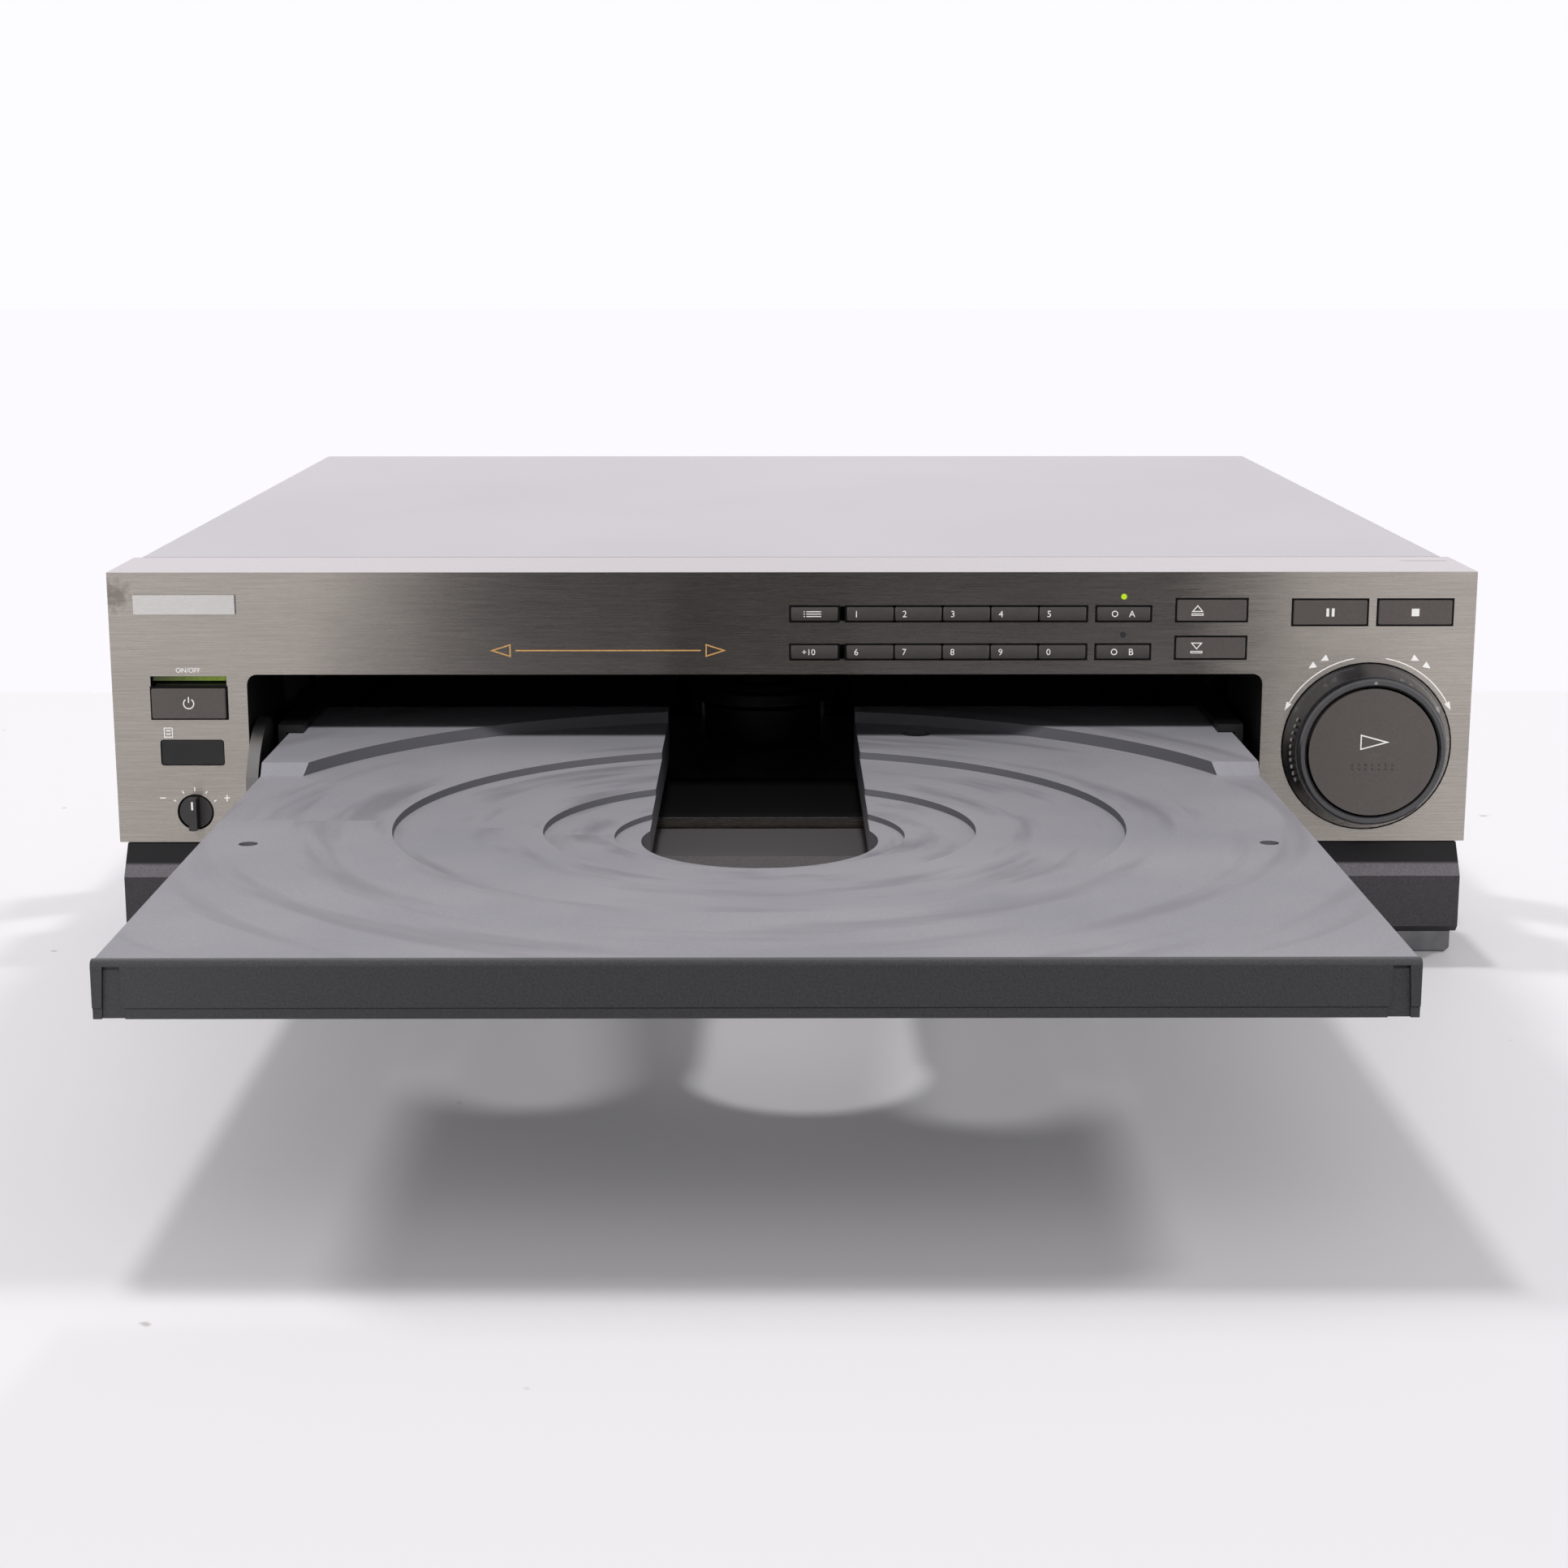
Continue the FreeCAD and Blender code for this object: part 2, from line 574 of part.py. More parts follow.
# main levels and planes
front = (size.tray_front_reach + size.rear_inset - size.jack_length - size.body_depth) / 2
rear = front + size.body_depth
panel_top = size.total_height
panel_bottom = panel_top - size.fascia_height
panel_x = about(as_formula(0), size.fascia_width)
panel_inner_x = about(as_formula(0), size.fascia_width - 2 * size.return_sheet)
mouth_x = about(size.mouth_centre, size.mouth_width)
mouth_top = panel_top - size.mouth_top_drop
mouth_z = (mouth_top - size.mouth_height, mouth_top)
frame_front = front + size.fascia_sheet
frame_rear = frame_front + size.frame_sheet
upper_row = panel_top - size.upper_row_drop
lower_row = panel_top - size.lower_row_drop
base_bottom = size.foot_height
base_floor = base_bottom + size.base_wall
base_ledge = base_bottom + size.skirt_height
base_x = about(as_formula(0), size.fascia_width - 2 * size.base_side_inset)
NUMBER_COLUMNS = 5
number_key_x = [size.number_key_start + size.number_key_pitch * place for place in range(NUMBER_COLUMNS)]
jog_z = panel_top - size.jog_drop
dial_z = panel_top - size.dial_drop
window_z = panel_top - size.window_drop
power_z = about(panel_top - size.power_drop, size.power_recess_height)
power_x = about(size.power_x, size.power_recess_width)

# slots of the front panel, each wider than its keys by the gap
number_slot_x = (size.program_key_x - size.number_key_width / 2 - size.key_gap,
                 number_key_x[-1] + size.number_key_width / 2 + size.key_gap)
side_slot_x = about(size.side_key_x, size.side_key_width + 2 * size.key_gap)
tray_slot_x = about(size.tray_key_x, size.tray_key_width + 2 * size.key_gap)
row_slot = size.number_key_height + 2 * size.key_gap
tray_slot = size.tray_key_height + 2 * size.key_gap
stop_slot = size.stop_key_height + 2 * size.key_gap
stop_slot_width = size.stop_key_width + 2 * size.key_gap
open_z = panel_top - size.open_key_drop
close_z = panel_top - size.close_key_drop
stop_z = panel_top - size.stop_key_drop
panel_slots = (
    (number_slot_x, about(upper_row, row_slot)),
    (number_slot_x, about(lower_row, row_slot)),
    (side_slot_x, about(upper_row, row_slot)),
    (side_slot_x, about(lower_row, row_slot)),
    (tray_slot_x, about(open_z, tray_slot)),
    (tray_slot_x, about(close_z, tray_slot)),
    (about(size.pause_key_x, stop_slot_width), about(stop_z, stop_slot)),
    (about(size.stop_key_x, stop_slot_width), about(stop_z, stop_slot)),
    (power_x, power_z),
)
window_hole = (about(size.window_x, size.window_width + 2 * size.key_gap),
               about(window_z, size.window_height + 2 * size.key_gap))
lamp_places = [row + size.lamp_rise for row in (upper_row, lower_row)]


def make_fascia():
    """Brushed aluminium front panel: a thin face with returns along its top and sides."""
    body = new_body("fascia")
    face = sketch_on(body, "XZ", front, "fascia_face")
    rectangle(face, panel_x, (panel_bottom, panel_top))
    pad(body, face, size.return_depth, backward=True)
    inside = sketch_on(body, "XZ", frame_front, "fascia_inside")
    rectangle(inside, panel_inner_x, (panel_bottom - size.hole_margin, panel_top - size.return_sheet))
    pocket(body, inside, size.return_depth)
    holes = sketch_on(body, "XZ", front, "fascia_holes")
    rounded_rectangle(holes, mouth_x, mouth_z, size.mouth_corner)
    for slot_x, slot_z in panel_slots:
        rectangle(holes, slot_x, slot_z)
    rounded_rectangle(holes, *window_hole, size.window_corner)
    circle(holes, size.jog_x, jog_z, size.jog_hole_radius)
    circle(holes, size.dial_x, dial_z, size.dial_hole_radius)
    for lamp_z in lamp_places:
        circle(holes, size.side_key_x, lamp_z, size.lamp_radius + size.running_gap)
    pocket(body, holes, size.fascia_sheet + size.hole_margin)
    slot = sketch_on(body, "XY", panel_top, "fascia_top_slot")
    rectangle(slot, about(size.top_slot_x, size.top_slot_length),
              about(front + size.top_slot_reach, size.top_slot_width))
    pocket(body, slot, size.return_sheet / 2)
    return keep(body, "fascia")


def make_front_frame():
    """Black sub-panel in two mouldings: one holds the keys and roofs the tray's tunnel, one is the rest."""
    body = new_body("front_frame_whole")
    plate_x = (panel_inner_x[0] + size.frame_gap, panel_inner_x[1] - size.frame_gap)
    plate_z = (panel_bottom + size.frame_gap, panel_top - size.return_sheet - size.frame_gap)
    plate = sketch_on(body, "XZ", frame_front, "frame_plate")
    rectangle(plate, plate_x, plate_z)
    pad(body, plate, size.frame_sheet, backward=True)
    tunnel = sketch_on(body, "XZ", frame_front, "frame_tunnel")
    rectangle(tunnel, (mouth_x[0] - size.tunnel_wall, mouth_x[1] + size.tunnel_wall),
              (mouth_z[0] - size.tunnel_wall, mouth_z[1] + size.tunnel_wall))
    pad(body, tunnel, size.tunnel_depth - size.fascia_sheet, backward=True)
    collar = sketch_on(body, "XZ", frame_front, "frame_collar")
    circle(collar, size.jog_x, jog_z, size.collar_radius)
    pad(body, collar, size.ring_proud - size.ring_lip - size.rest_gap + size.fascia_sheet)
    posts = sketch_on(body, "XZ", frame_rear, "frame_board_posts")
    for post_x, post_z in board_posts:
        circle(posts, post_x, post_z, size.board_post_radius)
    pad(body, posts, size.board_inset - size.fascia_sheet - size.frame_sheet, backward=True)

    bore = sketch_on(body, "XZ", front - size.ring_proud, "frame_collar_bore")
    circle(bore, size.jog_x, jog_z, size.collar_radius - size.collar_wall)
    pocket(body, bore, size.ring_proud + size.fascia_sheet)
    through = size.tunnel_depth + size.hole_margin
    mouth = sketch_on(body, "XZ", frame_front, "frame_mouth")
    rectangle(mouth, mouth_x, mouth_z)
    pocket(body, mouth, through)
    sill = sketch_on(body, "XZ", frame_front, "frame_sill")
    rectangle(sill, mouth_x, (plate_z[0] - size.hole_margin, mouth_z[0] + size.hole_margin))
    pocket(body, sill, size.tunnel_floor_start - size.fascia_sheet)
    holes = sketch_on(body, "XZ", frame_front, "frame_holes")
    for slot_x, slot_z in panel_slots:
        rectangle(holes, slot_x, slot_z)
    rounded_rectangle(holes, *window_hole, size.window_corner)
    circle(holes, size.jog_x, jog_z, size.play_stem_radius + size.running_gap)
    circle(holes, size.dial_x, dial_z, size.dial_hole_radius)
    for lamp_z in lamp_places:
        circle(holes, size.side_key_x, lamp_z, size.lamp_radius + size.running_gap)
    pocket(body, holes, size.frame_sheet + size.hole_margin)

    for name, lug_x in zip(("left", "right"), flap_lug_x):
        lug = sketch_on(body, "YZ", lug_x[0], f"frame_{name}_lug")
        eye = size.flap_eye_radius
        outline(lug, (
            (flap_axis_y, flap_axis_z - eye), (lug_rear_y, flap_axis_z - eye),
            (lug_rear_y, mouth_z[0]), (flap_axis_y - eye, mouth_z[0]), (flap_axis_y - eye, flap_axis_z, eye),
        ))
        pad(body, lug, lug_x[1] - lug_x[0])
        hole = sketch_on(body, "YZ", lug_x[1], f"frame_{name}_lug_bore")
        circle(hole, flap_axis_y, flap_axis_z, size.flap_pin_radius)
        pocket(body, hole, lug_x[1] - lug_x[0])
    axle = sketch_on(body, "XY", mouth_z[0], "frame_pinion_axle")
    circle(axle, pinion_x, pinion_y, size.axle_radius)
    pad(body, axle, rack_z[1] - mouth_z[0])
    shaft = sketch_on(body, "XY", mouth_z[0], "frame_motor_hole")
    circle(shaft, motor_x, pinion_y, size.axle_radius + size.rest_gap)
    pocket(body, shaft, size.tunnel_wall + size.hole_margin)

    joint_z = (mouth_z[1] + size.tunnel_wall, mouth_z[1] + size.tunnel_wall + size.frame_gap)
    plate_y = (frame_front - size.hole_margin, frame_rear + size.hole_margin)
    wall_y = (frame_front - size.hole_margin, front + size.tunnel_depth + size.hole_margin)
    wall_z = (mouth_z[1] - size.frame_gap, joint_z[1])
    joints = [
        box("frame_left_joint", (plate_x[0] - size.hole_margin, mouth_x[0]), plate_y, joint_z),
        box("frame_left_rebate", (mouth_x[0] - size.frame_gap, mouth_x[0]), wall_y, wall_z),
        box("frame_right_joint", (mouth_x[1], plate_x[1] + size.hole_margin), plate_y, joint_z),
        box("frame_right_rebate", (mouth_x[1], mouth_x[1] + size.frame_gap), wall_y, wall_z),
    ]
    return keep(cut("front_frame_halves", body, joints), "front_frame")


# keys: each a cap with a lip behind the sub-panel that keeps it in

def make_key(label, x, z, width, height, proud):
    """A rectangular key cap in its slot."""
    body = new_body(label)
    cap = sketch_on(body, "XZ", -proud, f"{label}_cap")
    rectangle(cap, about(as_formula(0), width), about(as_formula(0), height))
    pad(body, cap, proud + size.key_depth, backward=True)
    lip_start = size.fascia_sheet + size.frame_sheet + size.rest_gap
    lip = sketch_on(body, "XZ", lip_start, f"{label}_lip")
    rectangle(lip, about(as_formula(0), width), about(as_formula(0), height + 2 * size.key_lip))
    pad(body, lip, size.key_lip_depth, backward=True)
    for axis, place in zip("xyz", (x, front, z)):
        bind(body, f"Placement.Base.{axis}", place)
    return keep(body, label)


KEY_ROWS = ((("key_1", "key_2", "key_3", "key_4", "key_5"), upper_row),
            (("key_6", "key_7", "key_8", "key_9", "key_0"), lower_row))
number_keys = [(label, x, row) for labels, row in KEY_ROWS for label, x in zip(labels, number_key_x)]
number_keys += [("program_key", size.program_key_x, upper_row),
                ("plus_ten_key", size.program_key_x, lower_row)]
other_keys = [
    ("side_a_key", size.side_key_x, upper_row, size.side_key_width, size.number_key_height),
    ("side_b_key", size.side_key_x, lower_row, size.side_key_width, size.number_key_height),
    ("open_key", size.tray_key_x, open_z, size.tray_key_width, size.tray_key_height),
    ("close_key", size.tray_key_x, close_z, size.tray_key_width, size.tray_key_height),
    ("pause_key", size.pause_key_x, stop_z, size.stop_key_width, size.stop_key_height),
    ("stop_key", size.stop_key_x, stop_z, size.stop_key_width, size.stop_key_height),
]
power_key_z = power_z[0] + size.key_gap + size.power_key_height / 2
power_key_width = size.power_recess_width - 2 * size.key_gap


def make_keys():
    """All the rectangular keys of the front panel."""
    for label, x, z in number_keys:
        make_key(label, x, z, size.number_key_width, size.number_key_height, size.key_proud)
    for label, x, z, width, height in other_keys:
        make_key(label, x, z, width, height, size.key_proud)
    make_key("power_key", size.power_x, power_key_z, power_key_width, size.power_key_height,
             size.power_key_proud)


def make_shuttle_ring():
    """Ring that turns about the play key: a cone with a front band, hollow behind its lip."""
    body = new_body("shuttle_ring")
    outer = size.jog_hole_radius - size.ring_gap
    band = size.ring_front_radius
    bore = size.collar_radius + size.running_gap
    mouth = size.play_key_radius + size.play_key_gap
    tip = -size.ring_proud
    lip_rear = tip + size.ring_lip
    chamfer = size.ring_groove
    rear_face = size.fascia_sheet - size.rest_gap
    profile = sketch_on(body, "XY", 0, "shuttle_ring_profile")
    outline(profile, (
        (mouth, tip + chamfer), (mouth + chamfer, tip), (band - chamfer, tip), (band, tip + chamfer),
        (band, lip_rear - 2 * chamfer), (band - chamfer, lip_rear - chamfer),
        (band + chamfer, lip_rear - chamfer),
        (outer, -size.ring_gap), (outer, rear_face), (bore, rear_face), (bore, lip_rear), (mouth, lip_rear),
    ))
    revolve(body, profile)
    for axis, place in zip("xyz", (size.jog_x, front, jog_z)):
        bind(body, f"Placement.Base.{axis}", place)
    return keep(body, "shuttle_ring")


def make_play_key():
    """Round play key inside the ring, with a slightly domed face and a stem."""
    body = new_body("play_key")
    rim = -size.ring_proud
    crown = rim - size.play_key_crown
    back = rim + size.play_key_thick
    radius = size.play_key_radius
    dome = (radius * radius + size.play_key_crown * size.play_key_crown) / (2 * size.play_key_crown)
    profile = sketch_on(body, "XY", 0, "play_key_profile")
    outline(profile, (
        (0, crown, dome), (radius, rim), (radius, back), (size.play_stem_radius, back),
        (size.play_stem_radius, size.key_depth), (0, size.key_depth),
    ))
    revolve(body, profile)
    for axis, place in zip("xyz", (size.jog_x, front, jog_z)):
        bind(body, f"Placement.Base.{axis}", place)
    return keep(body, "play_key")


def make_dial():
    """Small dial: a disc in the panel's hole with a bar grip across it and a shaft behind."""
    body = new_body("picture_dial")
    disc = sketch_on(body, "XZ", size.rest_gap, "dial_disc")
    circle(disc, 0, 0, size.dial_radius)
    pad(body, disc, size.fascia_sheet + size.frame_sheet - size.rest_gap, backward=True)
    grip = sketch_on(body, "XZ", size.rest_gap, "dial_grip")
    half = size.dial_grip_width / 2
    chord = root(size.dial_radius * size.dial_radius - half * half)
    outline(grip, ((-half, -chord, size.dial_radius), (half, -chord), (half, chord, size.dial_radius),
                   (-half, chord)))
    pad(body, grip, size.rest_gap + size.dial_grip_proud)
    shaft = sketch_on(body, "XZ", size.fascia_sheet + size.frame_sheet, "dial_shaft")
    circle(shaft, 0, 0, size.dial_shaft_radius)
    pad(body, shaft, size.board_inset - size.fascia_sheet - size.frame_sheet, backward=True)
    for axis, place in zip("xyz", (size.dial_x, front, dial_z)):
        bind(body, f"Placement.Base.{axis}", place)
    return keep(body, "picture_dial")


def make_panel_trim():
    """Blank badge, remote window, light bar over the power key and the two side lamps."""
    badge = box("badge", about(size.badge_x, size.badge_width), (front - size.badge_thick, front),
                about(panel_top - size.badge_drop, size.badge_height))
    keep(badge, "badge_plate")
    body = new_body("remote_window")
    pane = sketch_on(body, "XZ", front + size.window_inset, "window_pane")
    rounded_rectangle(pane, about(size.window_x, size.window_width), about(window_z, size.window_height),
                      size.window_corner - size.key_gap)
    pad(body, pane, size.fascia_sheet + size.frame_sheet - size.window_inset, backward=True)
    keep(body, "remote_window")
    bar = box("light_bar_strip", about(size.power_x, power_key_width - 2 * size.key_gap),
              (front + size.lamp_bar_inset, frame_rear),
              (power_z[1] - size.lamp_bar_gap - size.lamp_bar_height, power_z[1] - size.lamp_bar_gap))
    keep(bar, "power_light_bar")
    lamps = [rod(f"lamp_{index}", "y", (size.side_key_x, lamp_z), (front, frame_rear), size.lamp_radius)
             for index, lamp_z in enumerate(lamp_places)]
    keep(fuse("lamps", lamps), "side_lamps")


# boards behind the front panel
board_front = front + size.board_inset
board_rear = board_front + size.board_thick
key_board_x = (size.program_key_x - size.number_key_width, panel_inner_x[1] - 2 * size.frame_gap)
key_board_z = (mouth_z[1] + size.tunnel_wall + size.frame_gap, panel_top - 2 * size.return_sheet)
jog_board_x = (mouth_x[1] + 2 * size.tunnel_wall, key_board_x[1])
jog_board_z = (mouth_z[0], key_board_z[0] - size.frame_gap)
left_board_x = (panel_inner_x[0] + 2 * size.frame_gap, mouth_x[0] - 2 * size.tunnel_wall)
left_board_z = (panel_bottom + 2 * size.frame_gap, key_board_z[0])
post_edge = 2 * size.board_post_radius
board_posts = (
    (key_board_x[0] + post_edge, key_board_z[1] - post_edge),
    (number_key_x[2], (upper_row + lower_row) / 2),
    ((size.pause_key_x + size.stop_key_x) / 2, close_z),
    (jog_board_x[0] + post_edge, jog_board_z[0] + post_edge),
    (jog_board_x[1] - post_edge, jog_board_z[0] + post_edge),
    (left_board_x[0] + post_edge, (dial_z + window_z) / 2),
    (left_board_x[1] - post_edge, (power_z[0] + window_hole[1][1]) / 2),
)


def make_control_boards():
    """Boards behind the keys, the shuttle ring and the power key, with their switches."""
    parts = [
        box("key_board_sheet", key_board_x, (board_front, board_rear), key_board_z),
        box("jog_board_sheet", jog_board_x, (board_front, board_rear), jog_board_z),
        box("left_board_sheet", left_board_x, (board_front, board_rear), left_board_z),
    ]
    places = [(label, x, z) for label, x, z in number_keys]
    places += [(label, x, z) for label, x, z, width, height in other_keys]
    places.append(("play_key", size.jog_x, jog_z))
    key_end = front + size.key_depth
    for label, x, z in places:
        parts.append(box(f"{label}_switch", about(x, size.switch_size),
                         (key_end + 2 * size.switch_gap, board_front),
                         about(z, size.switch_size)))
        parts.append(rod(f"{label}_plunger", "y", (x, z), (key_end + size.switch_gap, board_front),
                         size.plunger_radius))
    shaft_hole = rod("left_board_shaft_hole", "y", (size.dial_x, dial_z), (board_front, board_rear),
                     size.dial_shaft_radius + size.running_gap)
    power_switch = box("power_switch_can", about(size.power_x, 2 * size.switch_size),
                       (key_end + size.switch_gap, board_front), about(power_key_z, size.switch_size))
    sensor = box("remote_sensor", about(size.window_x, size.switch_size),
                 (frame_rear + size.switch_gap, board_front), about(window_z, size.switch_size))
    potentiometer = rod("dial_potentiometer", "y", (size.dial_x, dial_z),
                        (board_front, board_rear + size.switch_size), size.dial_radius)
    cans = fuse("control_board_parts", [*parts, power_switch, sensor, potentiometer])
    bore = rod("dial_potentiometer_bore", "y", (size.dial_x, dial_z),
               (board_front, board_rear + size.switch_size / 2), size.dial_shaft_radius + size.running_gap)
    keep(cut("control_boards_bored", cans, [shaft_hole, bore]), "control_boards")


def make_base():
    """Moulded base: an open pan with a sloping front skirt, and the posts that carry the inside."""
    body = new_body("base_pan")
    nose = front - size.skirt_nose
    lip = panel_bottom - size.skirt_gap
    pan_rear = rear - size.rear_inset
    shoulder = front + size.return_depth
    chamfer = size.skirt_chamfer
    side = sketch_on(body, "YZ", base_x[0], "base_side")
    outline(side, (
        (nose + chamfer, base_bottom), (pan_rear, base_bottom), (pan_rear, base_ledge),
        (shoulder, base_ledge), (shoulder, lip), (front, lip), (nose, base_ledge),
        (nose, base_bottom + chamfer),
    ))
    pad(body, side, base_x[1] - base_x[0])
    inside_x = (base_x[0] + size.base_wall, base_x[1] - size.base_wall)
    inside = sketch_on(body, "XY", lip, "base_inside")
    rectangle(inside, inside_x, (frame_rear - size.pan_overlap, pan_rear - size.base_wall))
    pocket(body, inside, lip - base_floor)
    core = sketch_on(body, "XY", base_bottom, "base_skirt_core")
    rectangle(core, inside_x, (nose + size.base_wall, front - size.base_wall / 2))
    pocket(body, core, size.skirt_height - size.base_wall, forward=True)
    supports = sketch_on(body, "XY", base_floor, "base_plate_posts")
    for x in plate_post_x:
        for y in plate_post_y:
            circle(supports, x, y, size.post_radius)
    pad(body, supports, plate_bottom - size.damper_height - base_floor)
    for name, board_x, board_y in (("main", main_board_x, main_board_y), ("supply", supply_x, supply_y)):
        pegs = sketch_on(body, "XY", base_floor, f"base_{name}_pegs")
        for x in (board_x[0] + post_edge, board_x[1] - post_edge):
            for y in (board_y[0] + post_edge, board_y[1] - post_edge):
                circle(pegs, x, y, size.board_post_radius)
        pad(body, pegs, size.main_board_rise - base_floor)
    for name, tab_x in (("left", (inside_x[0], inside_x[0] + size.base_wall)),
                        ("right", (inside_x[1] - size.base_wall, inside_x[1]))):
        tabs = sketch_on(body, "YZ", tab_x[0], f"base_{name}_tabs")
        for y in side_screw_y:
            rectangle(tabs, about(y, size.foot_length), (base_floor, screw_z + size.screw_tab_rise))
        pad(body, tabs, size.base_wall)
        bores = sketch_on(body, "YZ", tab_x[1], f"base_{name}_bores")
        for y in side_screw_y:
            circle(bores, y, screw_z, size.screw_shank_radius + size.running_gap)
        pocket(body, bores, size.base_wall + size.hole_margin)
    return keep(body, "base_pan")


foot_x = (base_x[1] - size.foot_side_inset - size.foot_width, base_x[1] - size.foot_side_inset)
foot_front_y = front - size.skirt_nose + size.foot_front_inset
foot_rear_y = rear - size.rear_inset - size.foot_front_inset


def make_feet():
    """Four wide feet that narrow towards their soles."""
    taper = size.foot_taper
    feet = []
    for row, y in (("front", foot_front_y), ("rear", foot_rear_y - size.foot_length)):
        for name, (x0, x1) in (("right", foot_x), ("left", (-foot_x[1], -foot_x[0]))):
            body = new_body(f"{row}_{name}_foot")
            section = sketch_on(body, "XZ", y, f"{row}_{name}_foot_section")
            outline(section, ((x0 + taper, 0), (x1 - taper, 0), (x1, taper), (x1, base_bottom),
                              (x0, base_bottom), (x0, taper)))
            pad(body, section, size.foot_length, backward=True)
            feet.append(body)
    keep(fuse("foot_set", feet), "feet")


# cover, its screws and the rear
cover_front = front + size.return_depth + size.cover_seam
cover_x = about(as_formula(0), size.fascia_width - 2 * size.cover_side_inset)
cover_bottom = base_ledge + size.rest_gap
screw_z = base_ledge + size.screw_rise
lip_screw_z = panel_top - size.cover_lip / 2
lip_screw_x = (-size.lip_screw_reach, as_formula(0), size.lip_screw_reach)
side_screw_y = about(front + size.body_depth / 2, 2 * size.screw_reach)
rear_face = rear - size.rear_inset
rear_inner = rear_face - size.rear_sheet


def make_top_cover():
    """Bent steel cover: top and two sides, with a lip folded down at the rear."""
    body = new_body("top_cover")
    sheet_size = size.cover_sheet
    bend = size.cover_bend
    outside = sketch_on(body, "XZ", cover_front, "cover_outside")
    outline(outside, (
        (cover_x[0], cover_bottom), (cover_x[1], cover_bottom), (cover_x[1], panel_top - bend, bend),
        (cover_x[1] - bend, panel_top), (cover_x[0] + bend, panel_top, bend), (cover_x[0], panel_top - bend),
    ))
    pad(body, outside, rear - cover_front, backward=True)
    inside = sketch_on(body, "XZ", cover_front, "cover_inside")
    rectangle(inside, (cover_x[0] + sheet_size, cover_x[1] - sheet_size),
              (cover_bottom - size.hole_margin, panel_top - sheet_size))
    pocket(body, inside, rear - cover_front - sheet_size)
    doorway = sketch_on(body, "XZ", rear - 2 * sheet_size, "cover_rear_opening")
    rectangle(doorway, (cover_x[0] + sheet_size, cover_x[1] - sheet_size),
              (cover_bottom - size.hole_margin, panel_top - size.cover_lip))
    pocket(body, doorway, 2 * sheet_size + size.hole_margin)
    side_holes = sketch_on(body, "YZ", cover_x[1] + size.hole_margin, "cover_side_holes")
    for y in side_screw_y:
        circle(side_holes, y, screw_z, size.screw_shank_radius + size.running_gap)
    pocket(body, side_holes, cover_x[1] - cover_x[0] + 2 * size.hole_margin)
    lip_holes = sketch_on(body, "XZ", rear - 2 * sheet_size, "cover_lip_holes")
    for x in lip_screw_x:
        circle(lip_holes, x, lip_screw_z, size.screw_shank_radius + size.running_gap)
    pocket(body, lip_holes, 2 * sheet_size + size.hole_margin)
    return keep(body, "top_cover")


def make_cover_screws():
    """Two screws in each side of the cover and three in its rear lip."""
    parts = []
    for name, outer, inward in (("left", cover_x[0], 1), ("right", cover_x[1], -1)):
        for place, y in zip(("front", "rear"), side_screw_y):
            head = sorted((outer, outer - inward * size.screw_head_thick), key=lambda limit: limit.value)
            shank = sorted((outer, outer + inward * size.screw_shank), key=lambda limit: limit.value)
            axis = (y, screw_z)
            parts.append(rod(f"{name}_{place}_screw_head", "x", axis, head, size.screw_head_radius))
            parts.append(rod(f"{name}_{place}_screw_shank", "x", axis, shank, size.screw_shank_radius))
    for index, x in enumerate(lip_screw_x):
        parts.append(rod(f"lip_screw_head_{index}", "y", (x, lip_screw_z),
                         (rear, rear + size.screw_head_thick), size.screw_head_radius))
        parts.append(rod(f"lip_screw_shank_{index}", "y", (x, lip_screw_z),
                         (rear - size.screw_shank, rear), size.screw_shank_radius))
    keep(fuse("cover_screw_set", parts), "cover_screws")


JACK_COLUMNS = 4
jack_x = [size.jack_block_x + size.jack_pitch * (place - (JACK_COLUMNS - 1) / 2)
          for place in range(JACK_COLUMNS)]
jack_rows = about(size.jack_rise, size.jack_pitch)
inlet_x = about(size.inlet_x, size.inlet_width)
inlet_z = about(size.jack_rise, size.inlet_height)


def make_rear_panel():
    """Steel rear panel with holes for the jacks, the round socket and the mains inlet."""
    body = new_body("rear_panel")
    sheet_face = sketch_on(body, "XZ", rear_inner, "rear_sheet_face")
    rectangle(sheet_face, (cover_x[0] + size.cover_sheet + size.frame_gap,
                           cover_x[1] - size.cover_sheet - size.frame_gap),
              (base_ledge + size.rest_gap, panel_top - size.cover_sheet - size.frame_gap))
    pad(body, sheet_face, size.rear_sheet, backward=True)
    holes = sketch_on(body, "XZ", rear_inner, "rear_holes")
    for x in jack_x:
        for z in jack_rows:
            circle(holes, x, z, size.jack_neck_radius + size.running_gap)
    circle(holes, size.socket_x, size.jack_rise, size.socket_radius + size.running_gap)
    rectangle(holes, (inlet_x[0] - size.running_gap, inlet_x[1] + size.running_gap),
              (inlet_z[0] - size.running_gap, inlet_z[1] + size.running_gap))
    for x in lip_screw_x:
        circle(holes, x, lip_screw_z, size.screw_shank_radius + size.running_gap)
    pocket(body, holes, size.rear_sheet + size.hole_margin)
    return keep(body, "rear_panel")


